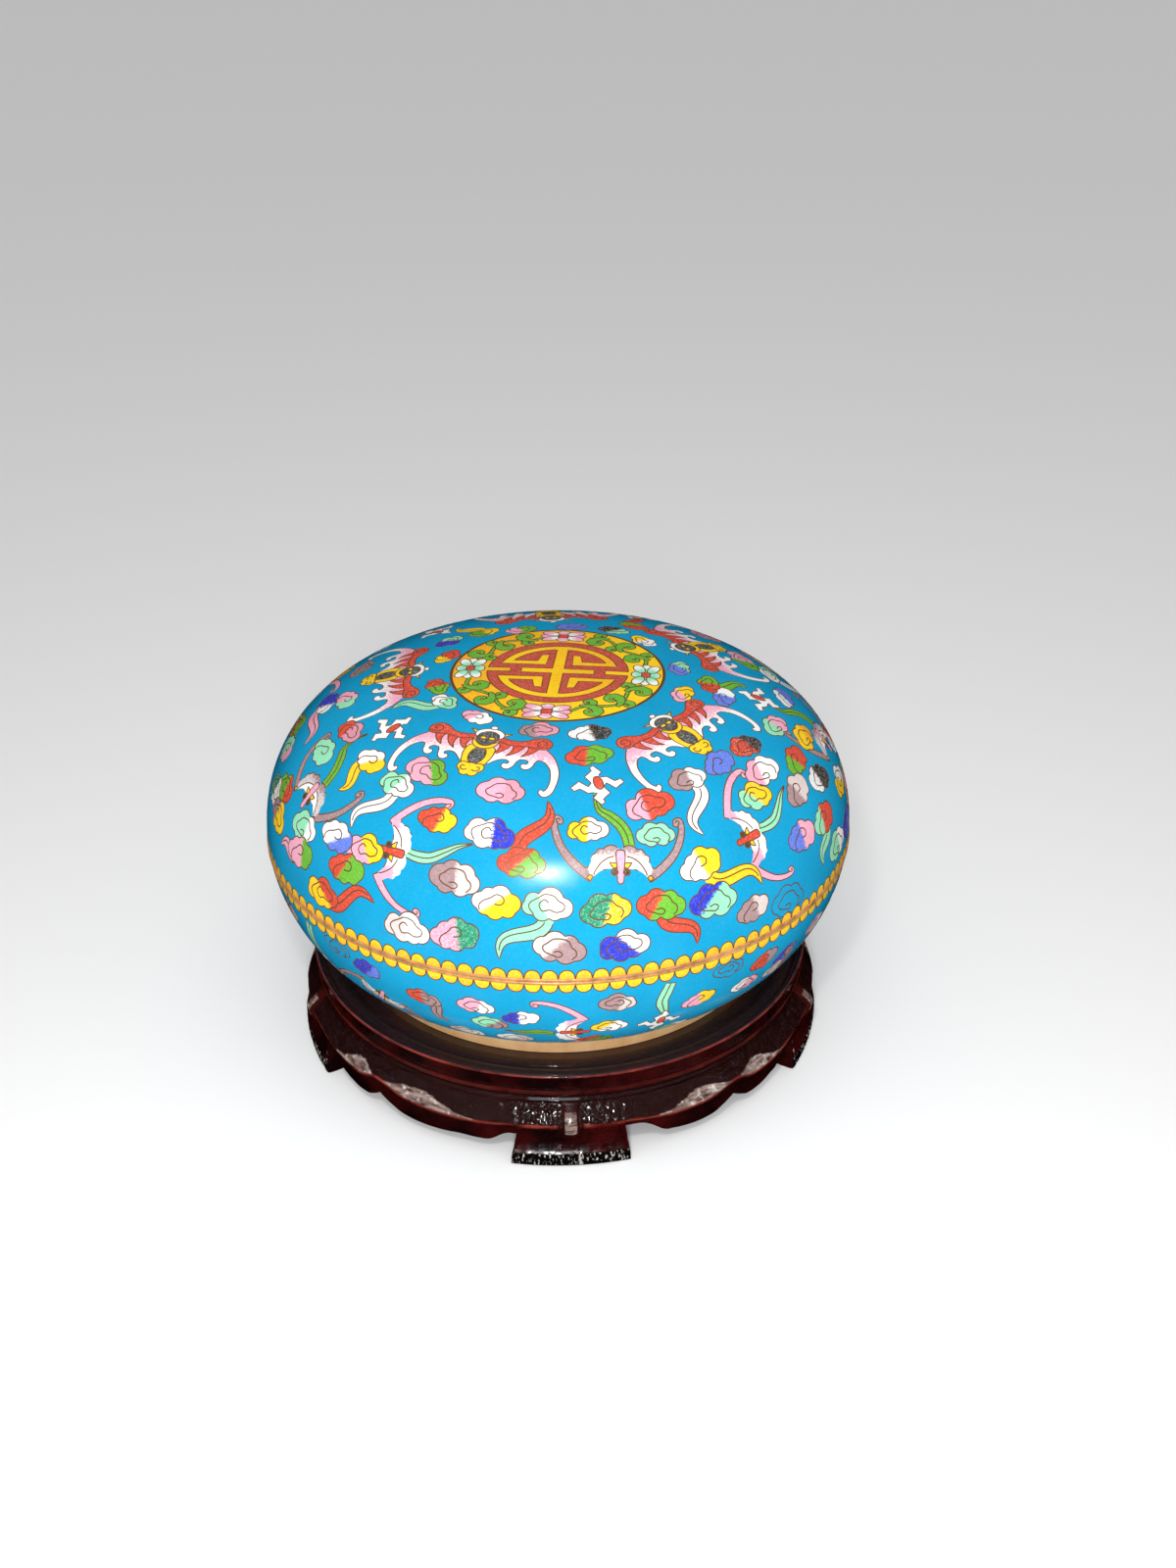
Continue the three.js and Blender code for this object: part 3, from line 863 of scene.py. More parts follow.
RED_OF_WING = (5 + 11.2j, 5 + 11.2j, 7.2 + 10.8j, 12 + 10j, 17.6 + 11j, 22.4 + 14.4j, 27 + 15.2j,
               30.6 + 12.6j, 30.4 + 8.8j, 27.4 + 7.2j, 23 + 7.6j, 18 + 7.2j, 12 + 6.4j, 7.4 + 7.6j,
               5 + 8.4j, 5 + 8.4j)
CLAW = (6.2 + 1.4j, 5.4 - 2.6j, 3 - 6.4j, -.6 - 9.2j, -.6 - 9.2j, .8 - 5.8j, .9 - 2.4j, -.6 + 1.2j)


def great_bat(sheet, laid):
    """A bat with spread wings, head up: pink wings that fade to white, red fingers, a masked
    head, a speckled belly between yellow bands and a cloud-shaped tail."""
    name = "bats"
    sheet.cell(laid, curve(list(RIM_OF_WING) + mirrored(RIM_OF_WING)),
               paint("pink", "white", -90, 0.6, 7), name)
    for side in (lambda p: p, mirrored):
        for base in (20.4 + 8.4j, 13.4 + 7.2j, 7 + 7j):
            sheet.cell(laid, curve(side([base + 0.92 * z for z in CLAW])), paint("red", grain=0.5), name)
        sheet.cell(laid, curve(side(RED_OF_WING)), paint("red", grain=0.5), name)
        sheet.wire(laid, curve(side((29.4 + 9.4j, 26.4 + 8.6j, 24 + 10.2j, 24.6 + 12.8j, 27.2 + 13.2j,
                                     28.4 + 11.4j, 26.6 + 10.8j)), closed=False))
        sheet.cell(laid, curve(side((4.4 + 11.4j, 6.2 + 13.4j, 10.6 + 14.4j, 10.6 + 14.4j, 7.6 + 12j,
                                     5.4 + 9.8j))), paint("yellow"), name)
    belly = (5.4 + 3j, 7.2 - 1j, 6.8 - 5.5j, 4.6 - 10j)
    sheet.cell(laid, curve(list(belly) + mirrored(belly)), paint("yellow"), name)
    sheet.cell(laid, oval(-3.7j, 3.9, 5.9), paint("soot", "fret", 60, 2.2, 3.6, 1.0), name)
    lobes = ((-3.7, 1, 2.9), (3.7, 1, 2.9), (0, .4, 3.4), (-1.9, -2.2, 2.6), (2, -2.3, 2.6))
    sheet.cell(laid, lobed(lobes, 44) - 12.9j, paint("yellow"), name)
    for side in (1, -1):
        curl = np.array([1.2 - 13.6j, 2.8 - 14.4j, 4.6 - 13.2j, 4.2 - 11.4j, 2.8 - 11.8j])
        sheet.wire(laid, curve(curl.real * side + 1j * curl.imag, closed=False))
    sheet.cell(laid, oval(9.4j, 5.3, 5.5), paint("soot", grain=1.0), name)
    cap = (6.9 + 10.6j, 6.9 + 13j, 4.4 + 15.2j, 1.6 + 16j, 0 + 16.2j)
    under = (0 + 13.9j, 2.2 + 13.5j, 4.6 + 11.8j, 5.4 + 9.4j)
    sheet.cell(laid, curve(mirrored(under)[:-1] + list(under) + list(cap) + mirrored(cap)[1:]),
               paint("white"), name)
    sheet.cell(laid, oval(17j, 1.8, 1.3), paint("white"), name)
    jaw = (6.3 + 7.2j, 5.7 + 4.4j, 3.8 + 2.3j, 1 + 1.3j)
    chin = (0 + 3.4j, 2.4 + 4.1j, 4.5 + 6j)
    sheet.cell(laid, curve(mirrored(chin)[:-1] + list(chin) + list(jaw) + mirrored(jaw)), paint("yellow"),
               name)
    for x in (-2.1, 2.1):
        sheet.cell(laid, oval(x + 8.9j, 1.6, 1.0), paint("yellow"), name)


BACK_OF_SMALL_WING = (0 + 2.4j, 0 + 2.4j, 1.2 + 4.2j, 3.6 + 5.2j, 6.2 + 4.6j, 7.4 + 3.4j, 7.4 + 3.4j,
                      9.6 + 3.4j, 11.2 + 1.2j, 11.2 + 1.2j, 12.8 + .2j, 12.9 - 2.4j, 12.9 - 2.4j,
                      13.9 - 4.4j, 15.4 - 5.2j, 15.4 - 5.2j)
ARM = (19.6 - 1.4j, 24.2 + 4.1j, 26.9 + 10.9j, 27.4 + 14.4j, 27.4 + 14.4j, 26.2 + 13.6j, 24.8 + 14.6j,
       25.2 + 16.8j, 27.6 + 18j, 29.8 + 16.6j, 30.2 + 12j, 28.6 + 5.4j, 24.6 - 1.6j, 19.4 - 7j,
       14.6 - 10.8j, 13.4 - 11.4j, 13.4 - 11.4j)
FRONT_OF_SMALL_WING = (11.6 - 8.6j, 8.6 - 6.3j, 5 - 5.3j, 1 - 5j)


def small_bat(sheet, laid, arm, wing, body):
    """A small bat, head down: two long arms that rise from the elbows to curled tips, a
    scalloped wing with a white band, a bar of a body with ears and eyes."""
    name = "bats"
    half = list(BACK_OF_SMALL_WING) + list(ARM) + list(FRONT_OF_SMALL_WING)
    sheet.cell(laid, curve(half + mirrored(half)), paint(arm, grain=0.5), name)
    mauve = arm == "mauve"
    for side in (lambda p: p, mirrored):
        wings = (list(BACK_OF_SMALL_WING[1:-2]) + [14.2 - 5.6j, 13.3 - 8.6j, 12.6 - 9.4j]
                 + list(FRONT_OF_SMALL_WING[:-1]) + [0 - 5j, 0 - 5j])
        glass = paint("pale", arm, 90, 1.8, 2.6, 0.6) if mauve else paint(arm, "white", 100, -1.6, 2.2, 0.2)
        sheet.cell(laid, curve(side(wings)), glass, name, wired=False)
        inner = (1 + .4j, 1 + .4j, 4.6 - .2j, 8.2 - 2.4j, 11 - 6.2j, 11.8 - 8.2j, 11.8 - 8.2j, 8.6 - 6j,
                 5 - 5j, 1 - 4.7j, 1 - 4.7j)
        near, far = ("white", "white") if mauve else (wing, arm)
        sheet.cell(laid, curve(side(inner)), paint(near, far, 0, 7.5, 2, 0.1), name, wired=False)
        sheet.wire(laid, curve(side(inner[1:6]), closed=False))
        if mauve:
            sheet.cell(laid, curve(side((13.4 - 10.9j, 13.4 - 10.9j, 12.2 - 9.2j, 13.4 - 8.2j, 15 - 9.6j,
                                         15 - 9.6j))), paint("amber"), name)
        sheet.cell(laid, curve(side((1.4 - 2.4j, 1.4 - 2.4j, 3 - 2.6j, 5 - 2.4j, 5 - 2.4j, 4.2 - 3.8j,
                                     3 - 5j, 3 - 5j, 1.8 - 4.6j))), paint("yellow"), name)
        sheet.wire(laid, curve(side((27.4 + 14.4j, 27.9 + 16j, 26.8 + 16.6j, 26.2 + 15.6j)), closed=False))
    bar = (0 + 3j, 1.7 + 2.6j, 2 - .4j, 1.6 - 5j, 1.5 - 9j, 1.3 - 11.4j, 0 - 12.2j)
    sheet.cell(laid, curve(list(bar) + mirrored(bar)[1:-1]), paint(body), name)
    for x in (-2.7, 2.7):
        sheet.cell(laid, oval(x - 6.8j, 1.5, 1.5, count=14), paint("yellow"), name)
        sheet.cell(laid, oval(x - 6.8j, 0.95, 0.95, count=10), paint("black", grain=0.8), name)


# ---------------------------------------------------------------- medallion on top of the lid
FIELD = 52.6          # radius of the yellow field
FRET = 34.9           # outer radius of the red fret
CHANNEL = (29.8, 25.6)
BAR = (2.9, 2.5)      # half widths of the yellow cross, upright and level
ASKEW = np.exp(-1j * np.radians(5))     # the whole roundel is turned a little, and
OFF = 0.2 - 1.6j                        # lies a little in front of the middle
FLOWER_RING = 43.6    # radius on which the flowers and stems lie


def arc_of(radius, start, end, count):
    """Points of a circle between two angles in degrees."""
    return radius * np.exp(1j * np.radians(np.linspace(start, end, count)))


def four_ways(quarter):
    """A closed outline from the part of it between the upright and the level axis."""
    left = -quarter.conj()[::-1]
    top = np.concatenate([left[:-1] if abs(left[-1] - quarter[0]) < 1e-6 else left, quarter])
    bottom = top.conj()[::-1]
    return np.concatenate([top, bottom[1:-1]])


def medallion(sheet):
    """The longevity fret in a ring of scrolling leaves and four flowers."""
    def laid(flat):
        return np.asarray(flat, complex) * ASKEW + OFF
    name = "medallion"
    sheet.cell(laid, arc_of(FIELD, 0, 358, 180), paint("yellow", "amber", 160, 10, 60, 0.15), name)
    for grow in (0.5, -0.5):
        sheet.wire(laid, np.append(arc_of(FIELD + grow, 0, 358, 180), FIELD + grow))
    notch = 2.1
    start = math.degrees(math.asin(notch / FRET))
    top = arc_of(FRET, start, 180 - start, 90)
    into = np.array([-23.6 + notch * 1j, -23.6 - notch * 1j])
    sheet.cell(laid, np.concatenate([top, into, top.conj()[::-1], -into.conj()[::-1]]),
               paint("fret", grain=0.45), name)
    out, inn = CHANNEL
    corner = 7.1
    begin = math.degrees(math.asin(corner / out))
    quarter = np.concatenate([
        arc_of(out, 90, begin, 30),
        [6.6 + 6.9j, 5.9 + 18.6j, 9.9 + 18.2j, 11.2 + 11j],
        arc_of(inn, math.degrees(math.asin(11 / inn)), math.degrees(math.acos(BAR[0] / inn)), 22),
        [BAR[0] + BAR[1] * 1j, 18 + BAR[1] * 1j, 18 + 0j],
    ])
    sheet.cell(laid, four_ways(quarter), paint("yellow", "amber", 20, 14, 60, 0.15), name)
    leaves(sheet, laid)
    flowers(sheet, laid)


def flowers(sheet, whole):
    """Four flowers on the field, each of three petals to either side along the ring and one
    towards the rim and the fret, round a red square; pink in front and behind, mint at the sides."""
    name = "medallion"
    for azimuth, tint in ((-1, "pink"), (182, "pink"), (-91, "mint"), (90, "mint")):
        away = np.exp(1j * math.radians(azimuth - 90))

        def laid(flat):
            return whole(away * (FLOWER_RING - 1j * np.asarray(flat, complex)))
        for side in (1, -1):
            sheet.cell(laid, oval(side * 4.2j, 3.5, 3.0), paint(tint, "white", 90 * side, 6, 2.5, 0.1), name)
        for side in (1, -1):
            for lift in (0, 1, -1):
                middle = side * (7.0 if lift == 0 else 6.5) + 3.5j * lift
                lean = side * lift * 24 + (0 if side > 0 else 180)
                glass = paint("mint", "white", lean, 7.2, 2.6, 0.1)
                if tint == "pink":
                    glass = paint("white", "pink", lean, 6.4, 3.2, 0.1)
                sheet.cell(laid, oval(middle, 4.7, 2.7, lean), glass, name)
        square = np.array([-2.6 - 2.1j, 2.6 - 2.1j, 2.6 + 2.1j, -2.6 + 2.1j])
        sheet.cell(laid, curve(np.repeat(square, 2)), paint("red"), name)


CROZIER = (-4 - .6j, -1 - .2j, 1.6 + 1.6j, 3 + 4.2j, 1.8 + 6.6j, -.8 + 6.8j, -2 + 4.9j, -.9 + 3.4j, .2 + 3.9j)


def leaves(sheet, whole):
    """In each quarter of the field a stem runs from flower to flower and throws out three curled
    fronds; each has a bigger, notched curl to one side and a small hook to the other."""
    name = "medallion"
    path = curve(CROZIER, closed=False, step=0.5)
    t = np.linspace(0, 1, len(path))
    half = np.interp(t, (0, 0.2, 0.42, 0.62, 0.8, 1), (0.8, 1.5, 2.2, 1.7, 1.1, 0.9))
    half = half + 0.5 * abs(np.sin(9 * np.pi * t)) * np.interp(t, (0.2, 0.35, 0.6, 0.7), (0, 1, 1, 0))
    frond = band(path, half)
    for quarter in range(4):
        phase = 0 if quarter % 2 else np.pi
        t = np.linspace(0, 1, 61)
        way = np.exp(1j * np.radians(90 * quarter - 76 + 60 * t))
        path = (FLOWER_RING + 2.6 * np.sin(3 * np.pi * t + phase)) * way
        sheet.cell(whole, band(path, 0.9 + 0 * t), paint("leaf"), name)
        way = np.gradient(path)
        way = way / abs(way)
        for step, at in enumerate((13, 33, 53)):
            side = -(-1) ** (step + quarter)
            for outline, size in ((frond.conj() if side > 0 else frond, 0.8),
                                  (frond if side > 0 else frond.conj(), 1.15)):
                sheet.cell(lambda z: whole(path[at] + way[at] * size * np.asarray(z)), outline,
                           paint("leaf", grain=0.4), name)


# ---------------------------------------------------------------- borders
def turquoise_ground(sheet, at_edge):
    """Brown metal along the seam, shown between the feet of the lappets, and the ground glass."""
    sheet.cell(lambda flat: flat, ring_of(at_edge), paint("metal", grain=0.1), "lappets", wired=False)
    sheet.cell(lambda flat: flat, ring_of(at_edge - 1.6), paint("turquoise", grain=0.06), "ground",
               wired=False)


def lappets(sheet, colour, tall, at_edge):
    """A row of round scallops along the seam, brown metal between their feet. Each rises from
    its base as tall * (1 - |x| ** 2.2) ** 0.5, x running from -1 to 1 across it."""
    many = 125
    x = np.linspace(-1, 1, 15)
    rise = tall * (1 - abs(x) ** 2.2) ** 0.5
    way = 0.99 * np.pi / many
    flat = np.concatenate([(at_edge - rise) * np.exp(1j * way * x),
                           at_edge * np.exp(1j * way * np.array([0.5, 0, -0.5]))])
    for k in range(many):
        turn = np.exp(2j * np.pi * (k + 0.5) / many)
        glass = paint(colour, "amber" if colour == "yellow" else "yellow", 0,
                      at_edge - 2.5 + math.sin(k * 2.3), 5, 0.25)
        sheet.cell(lambda z: z * turn, flat, glass, "lappets", wired=False)
        sheet.wires.append((flat[:len(x)] * turn, False, len(sheet.cells) + many))


# ---------------------------------------------------------------- the lid's drawing
# Clouds: arc mm from the apex, azimuth, left and right glass, and size where it is not 1.
LID_CLOUDS = (
    (56, -159, "leaf", "pink"), (57, 173, "periwinkle", "periwinkle"), (58, 131, "white", "yellow"),
    (59, -109, "red", "yellow"), (60, 151, "mint", "black"), (60, -75, "red", "leaf"),
    (61, 95, "periwinkle", "mint"), (61, -37, "pink", "white"), (62, -7, "mauve", "rose", 1.08),
    (65, 69, "pink", "yellow"), (66, 14, "white", "black", 1.15), (70, -126, "mint", "cobalt"),
    (82, 11, "red", "leaf", 1.22), (84, 76, "periwinkle", "white"), (103, -34, "pink", "leaf", 1.24),
    (105, -13, "pink", "rose", 1.12), (106, -85, "pink", "mint"), (106, -105, "mauve", "mauve"),
    (107, 57, "red", "black"), (107, 45, "periwinkle", "periwinkle"), (108, -67, "red", "rose"),
    (112, 73, "mint", "pink"), (116, 91, "white", "periwinkle"), (116, 21.6, "pink", "red", 1.18),
    (121, 54, "pink", "white", 1.15), (124, -67, "mint", "mint"), (124, 7, "yellow", "white", 0.9),
    (124, -110, "yellow", "amber"), (125, -25, "red", "yellow", 0.92), (127, -13, "white", "cobalt", 1.12),
    (128, 77, "yellow", "amber"), (129, 66, "leaf", "red"), (129, 47, "mint", "yellow"),
    (130.5, 20.8, "mint", "mint", 0.86), (139, 59, "mauve", "pale"), (139, -89, "red", "leaf"),
    (144, 69, "white", "black"), (145, -83, "mint", "pink"), (148, -38, "pink", "yellow"),
    (149, -18, "mauve", "pale", 1.07), (149, -46, "white", "periwinkle"), (151, -70, "leaf", "red"),
    (155, -56, "mint", "white"), (157, -10, "white", "yellow"), (159, -75, "bottle", "white"),
    (160, 9, "bottle", "yellow"), (160, -41, "red", "leaf"), (164, -68, "mauve", "yellow"),
    (165, 29, "cobalt", "mint", 1.1), (174, -17, "pink", "bottle"), (176, -26, "pale", "white"),
    (176, 1, "pale", "mauve"), (176, 37, "mauve", "pale", 0.82), (177, 12, "cobalt", "white"),
    (181, 46, "turquoise", "turquoise"), (157, 53.5, "periwinkle", "pink"), (158, 78, "yellow", "white"),
    (177, 66, "mint", "white"), (178, 75, "cobalt", "periwinkle"), (176, 85, "mauve", "pale"),
    (150, 91, "white", "red"), (178, 95, "leaf", "yellow"), (166, 102, "pink", "white"),
)
# Clouds with a tail: also the tail's glass and where its tip lies from the cloud's middle.
LID_TAILED = (
    (62, -59, "white", "mint", "mint", -13 - 24j), (64, -142, "yellow", "leaf", "yellow", 4 - 20j),
    (74, 147, "red", "leaf", "red", 12 - 20j), (75, 83, "red", "leaf", "leaf", 7 - 21j),
    (108, 34, "mauve", "white", "white", -8 - 32j), (111, -51, "white", "yellow", "yellow", -3 - 22j),
    (115, -39, "mint", "white", "white", -10 - 31j), (118, -89, "cobalt", "white", "pink", 30 - 14j),
    (159, 62.5, "mint", "red", "mint", -11 - 20j), (167, 86, "pink", "yellow", "red", -24 - 8j),
    (139, -6, "red", "leaf", "red", 9 + 28j), (148, 28, "white", "yellow", "yellow", 31 - 19j),
    (157, -1, "mint", "white", "mint", -22 - 27j), (161, 19, "red", "leaf", "red", 16 - 23j),
    (167, -55, "pink", "leaf", "pink", -20 - 6j), (177, -46, "yellow", "red", "red", 34 + 8j),
)


def round_the_back(rows, front, turns):
    """The rows as given, then the same rows turned on to the side away from the front, keeping
    those that fall between the two azimuths of `front` the long way round."""
    low, high = front
    made = [(row, 0) for row in rows]
    for turn in turns:
        for row in rows:
            azimuth = (row[1] + turn) % 360
            if row[0] > 98 and high < azimuth < low % 360:
                made.append((row, turn))
    return made


def lid_drawing(skin):
    sheet = Sheet(skin)
    edge = skin.edge[1]
    turquoise_ground(sheet, edge)
    medallion(sheet)
    for k in range(5):
        around = 72 * k
        # ribbons first, so that the signs and the bats lie over their ends
        tied = skin.hold(12.6 + around, 138)
        ribbon(sheet, tied, (-3 + 33j, -5.2 + 28j, -4.9 + 22j, -.5 + 18j, 3.2 + 13.5j, 5 + 8.3j,
                             5 + 2.4j), (0.5, 1.2, 2.3, 2.6, 2.4), "leaf")
        loose = skin.hold(-30.1 + around, 144)
        ribbon(sheet, loose, (3 + 1j, 9 + .6j, 15 + 1.6j, 21 + 5.6j, 26 + 9.4j, 32 + 12.2j),
               (2.0, 2.5, 2.3, 1.5, 0.3), "mint")
        wan_sign(sheet, skin.hold(*((11 + around, 101.5), (-134.5, 92.3), (-57.3, 92.5))[max(0, k - 2)]))
        great_bat(sheet, skin.hold((-24.2, 44.6, 118, -176, -94)[k], 83, turn=4))
        small_bat(sheet, skin.hold(12.8 + around, 138, turn=-8), "mauve", "pale", "pink")
        small_bat(sheet, skin.hold(-30.3 + around, 144.4, turn=-88, size=0.94), "pink", "white", "red")
    tailed = round_the_back(LID_TAILED, (-113, 95), (144,))
    for k, (row, turn) in enumerate(tailed):
        arc, azimuth, left, right, colour, tip = row
        tail(sheet, skin.hold(azimuth + turn, arc), tip, colour, bend=0.13 * (-1) ** k)
    plain = round_the_back(LID_CLOUDS, (-113, 95), (144,))
    for k, (row, turn) in enumerate(plain + tailed):
        arc, azimuth, left, right = row[:4]
        if turn:
            left, right = right, left
        half = (8.6 + 3.0 * max(0, arc - 60) / 110) * (row[4] if len(row) == 5 else 1)
        laid = skin.hold(azimuth + turn, arc, turn=9 * math.sin(k * 1.7), flip=(k * 5 + turn) % 3 == 1)
        if (k * 5 + turn) % 3 == 1:
            left, right = right, left
        cloud(sheet, laid, half, left, right, form=(k * 7 + turn // 72) % 3, seed=k + 1)
    lappets(sheet, "yellow", 4.5, edge)
    return sheet


# ---------------------------------------------------------------- the bowl's drawing
# Clouds of the front: mm below the seam, azimuth, left and right glass. Those within 36 degrees
# of the front are repeated round the bowl.
BOWL_CLOUDS = (
    (8, -43, "turquoise", "turquoise"), (13, -36, "cobalt", "periwinkle"), (19, -24, "red", "mauve"),
    (17, -14, "pink", "white"), (21, 48, "cobalt", "periwinkle"), (30, 47, "pale", "white"),
    (30, -12, "mint", "mauve"), (23, -6, "cobalt", "white"), (13, 11, "mauve", "pale"),
    (32, 10, "yellow", "white"), (24, 27, "pink", "yellow"), (8, 32, "turquoise", "turquoise"),
    (27, 38, "white", "pink"), (14, 41, "red", "mauve"), (46, -18, "pale", "white"),
    (46, -8, "white", "pale"), (50, 24, "mint", "white"), (48, 8, "red", "leaf"), (52, -32, "pink", "white"),
    (60, -2, "white", "yellow"), (62, 16, "mauve", "pale"), (62, -24, "yellow", "leaf"), (61, 34,
        "cobalt", "mint"),
)


def bowl_drawing(skin):
    sheet = Sheet(skin)
    edge = skin.edge[0]
    turquoise_ground(sheet, edge)
    for k in range(5):
        around = 72 * k
        ribbon(sheet, skin.hold(20 + around, 36), (.5 + 0j, 1.5 + 6j, -.6 + 13j, -2 + 19j, -.6 + 26j,
            1 + 32j), (0.4, 1.6, 2.9, 3.1, 2.7), "mint")
        ribbon(sheet, skin.hold(1 + around, 37), (-3 + 0j, -10 + 1.2j, -18 - .2j, -26 + .6j),
               (1.9, 2.5, 1.8, 0.2), "leaf")
        wan_sign(sheet, skin.hold(20 + around, 36.5, turn=-8, size=0.92))
        small_bat(sheet, skin.hold(2 + around, 36, turn=90, size=0.92), "pink", "white", "red")
        small_bat(sheet, skin.hold(*((47, 57) if k == 1 else (-36 + around, 36)), turn=150, size=0.86),
                  "mauve", "pale", "pink")
        tail(sheet, skin.hold(-24 + around, 19), 9 - 17j, "mauve", 0.15, 2.3)
        for n, (drop, azimuth, left, right) in enumerate(BOWL_CLOUDS):
            turned_by = (azimuth + around + 180) % 360 - 180
            if k and (abs(azimuth) > 36 or abs(turned_by) < 52):
                continue
            laid = skin.hold(turned_by, drop, turn=8 * math.sin(n * 2.1 + k))
            cloud(sheet, laid, 8.8, left, right, form=(n + k) % 3, seed=n + 3 * k + 1)
    lappets(sheet, "amber", 3.9, edge)
    return sheet


# ================================================================ the scene
# ---- camera: from in front and above ----
camera_data = bpy.data.cameras.new("camera")
camera_data.lens = 33.55
camera_data.sensor_width = 36
camera_data.shift_y = 0.047
camera = bpy.data.objects.new("camera", camera_data)
camera.location = (0.0140, -0.6624, 0.503)
camera.rotation_euler = (math.radians(90 - 32.04), 0, math.radians(-0.1))
bpy.context.collection.objects.link(camera)
bpy.context.scene.camera = camera
bpy.context.scene.view_settings.view_transform = "Standard"

# ---- finishes ----
enamel = fired_enamel()
lining = lining_enamel()
wire = wire_metal()
gilt = metal("gilt_bead", (232, 172, 112), (168, 118, 74), 0.2, 0.22, 0.38, 0.3)
# the foot ring's tones are painted far lighter than bare brass: its own colour plus painted light for the
# front light that reaches it in the shade of the bowl
brass = metal("foot_brass", (255, 208, 152), (240, 184, 124), 0.1, 0.28, 0.42, 0.1)
lacquer = dark_lacquer()

# ---- enamelled lid and bowl ----
lid_skin = Skin(lid_rise, LID_POWERS, 1, (bead, lid_rise), (0.0, 1.0))
bowl_skin = Skin(bowl_curve, BOWL_POWERS, -1, (bead, base_drop), (reach, -0.9))
for prefix, skin, drawing in (("lid", lid_skin, lid_drawing), ("bowl", bowl_skin, bowl_drawing)):
    sheet = drawing(skin)
    chart, triangles, owner = sheet.divided()
    enamel_pieces(sheet, chart, triangles, owner, prefix, enamel, prefix)
    runs = sheet.wire_runs()
    total = np.cumsum([len(line) for line, closed in runs])
    parts = int(math.ceil(total[-1] * TRIANGLES_PER_SAMPLE / MOST_TRIANGLES))
    for part in range(parts):
        chosen = [run for run, t in zip(runs, total) if (t - 1) * parts // total[-1] == part]
        wire_piece(sheet, chosen, "%s_wires_%d" % (prefix, part + 1), wire, prefix)


def skin_profile(rise, powers, h_low, h_high, less, count=40):
    """(radius, h) pairs of the skin's curve with its reach and rise shortened by `less`."""
    r, h, arc = dome_curve(reach - less, rise - less, powers, h_low, h_high, 4001)
    at = np.linspace(0, arc[-1], count)
    return np.interp(at, arc, r), np.interp(at, arc, h)


# copper of the lid under its enamel: up the lining, then down the outside
r_out, h_out = skin_profile(lid_rise, LID_POWERS, bead, lid_rise, 0.4)
r_in, h_in = skin_profile(lid_rise, LID_POWERS, bead, lid_rise, wall)
turned("lid_copper", [
    *zip(r_in, seam + h_in),
    *zip(r_out[::-1], (seam + h_out)[::-1]),
][::-1], lining, "enamel", "lid")
r_out, d_out = skin_profile(bowl_curve, BOWL_POWERS, bead, base_drop - 0.6, 0.4)
r_in, d_in = skin_profile(bowl_curve, BOWL_POWERS, bead, 52, wall)
base = seam - base_drop
turned("bowl_copper", [
    (0, base + 0.6), (ring_high.x - 6, base), (ring_high.x - 0.6, base),
    *zip(r_out, seam - d_out),
    *zip(r_in[::-1], (seam - d_in)[::-1]),
    (112.6, base + 4.5), (105, base + 3), (98, base + wall), (0, base + wall + 0.6),
], lining, "enamel", "bowl")

# gilt beads at the seam, the flange inside them, and the brass foot ring
edge = rim_high.x
t = np.linspace(-0.45, 0.5, 9) * np.pi
turned("lid_bead", [
    (edge - 3, seam), (edge - 0.75, seam),
    *zip(edge - 0.85 + 0.85 * np.cos(t), seam + bead / 2 + 0.02 + 0.83 * np.sin(t)),
    (edge - 1.3, seam + bead), (edge - 3, seam + bead),
], gilt, "gilt", "lid_rim")
turned("bowl_bead", softened([
    (edge - 3, seam - bead), (edge - 1.3, seam - bead),
    *zip(edge - 0.85 + 0.85 * np.cos(t[::-1]), seam - bead / 2 - 0.02 - 0.83 * np.sin(t[::-1])),
    (edge - 0.75, seam), (146.2, seam), (146.2, flange_high.z), (144.9, flange_high.z), (144.9, seam - bead),
], 0.25), gilt, "gilt", "bowl_rim")
turned("brass_ring", softened([
    (106.8, ring_low.z), (ring_high.x, ring_low.z), (ring_high.x, ring_high.z), (106.8, ring_high.z),
], 0.5), brass, "brass", "foot_ring")

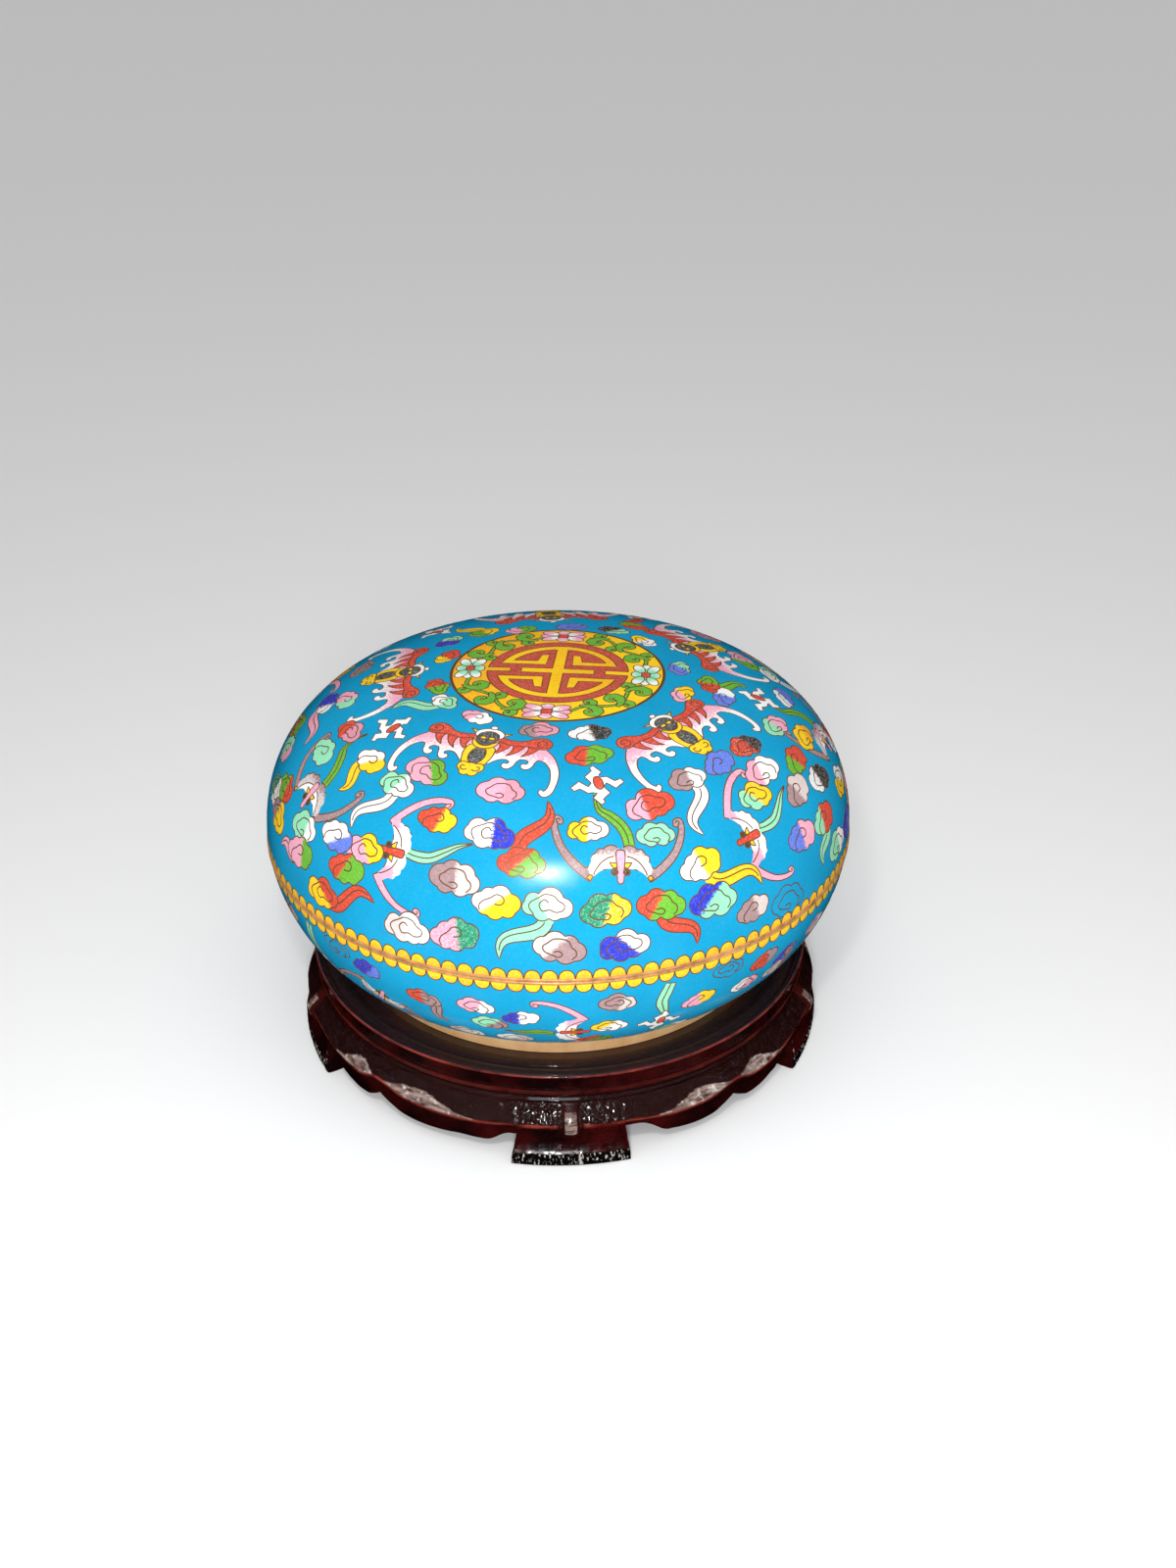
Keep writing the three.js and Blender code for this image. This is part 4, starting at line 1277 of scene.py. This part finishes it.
# ---- stand ----
seat = ring_low.z
lip = tray_high.z
tray = softened([
    (0, 37), (124.5, 37), (124.5, tray_low.z), (131.3, tray_low.z), (131.6, 33.4), (130, 34.5), (130.4,
        35.4), (132.2, 37.2),
    (133, 39), (132.2, 40.5), (131.7, 41.2), (132.4, 42), (132.7, 48.2), (133.4, 48.9), (133.1,
        lip), (131.9, lip),
    (130.6, 46.7), (129.2, 46.5), (128.5, 47.4), (126, 47.5), (123.9, 46.9), (123.3, 45.5), (120.9,
        45.4), (120.3, 46.3),
    (116, 46.2), (115.4, seat - 0.2), (114.6, seat), (0, seat),
], 0.45)
radius, height = np.array(tray).T
moat = (height > 44) & (radius > 114.9) & (radius < 131.5)
deep = moat & (height < 46.1)
groove = (height < 41.8) & (height > 40.8) | (height < 35.6) & (height > 33.2)
# painted highlight on the lip and the rounded moulding below it; dark grit in the moat and the grooves,
# strongest at the bottom of the moat and beside the seat
turned("turned_tray", tray, lacquer, "lacquered_wood", "stand_top", marks=dict(
    dug_and_shade=0.55 * moat + 0.45 * deep + 0.8 * groove, dulled=0.8 * moat,
    edge_highlight=0.9 * ((radius > 132.4) & (height > 48.7)) + 0.2 * ((height > 38) & (height < 40.2)),
))
carved_apron()

# ---- floor and light ----
bpy.ops.mesh.primitive_plane_add(size=60)
floor = bpy.context.active_object
floor.name = "floor"
floor_material, _, floor_shader = material("pale_floor")
floor_shader.inputs["Base Color"].default_value = (0.86, 0.86, 0.86, 1)
floor_shader.inputs["Roughness"].default_value = 0.8
floor_shader.inputs["Specular IOR Level"].default_value = 0.1
floor.data.materials.append(floor_material)
floor.visible_glossy = False

world = bpy.data.worlds.new("studio")
world.use_nodes = True
world.node_tree.nodes["Background"].inputs[0].default_value = (1, 1, 1, 1)
world.node_tree.nodes["Background"].inputs[1].default_value = 0.62
world.cycles_visibility.glossy = False
bpy.context.scene.world = world


def soft_light(name, place, aim, size, power, seen=True):
    """A square soft light at a place in metres, facing a point."""
    lamp = bpy.data.lights.new(name, "AREA")
    lamp.size = size
    lamp.energy = power
    made = bpy.data.objects.new(name, lamp)
    made.location = place
    made.rotation_euler = (Vector(aim) - Vector(place)).to_track_quat("-Z", "Y").to_euler()
    made.visible_glossy = seen
    bpy.context.collection.objects.link(made)


soft_light("lamp_small", (-0.03, -0.535, 0.575), (0, -0.13, 0.16), 0.04, 1.1)
soft_light("lamp_broad", (-0.03, -0.56, 0.60), (0, -0.13, 0.16), 0.22, 0.45)
soft_light("lamp_front", (0.0, -0.74, 0.46), (0, -0.1, 0.08), 0.1, 3.4, seen=False)
soft_light("lamp_over", (0.1, -0.7, 1.6), (0, 0, 0.1), 1.4, 5, seen=False)
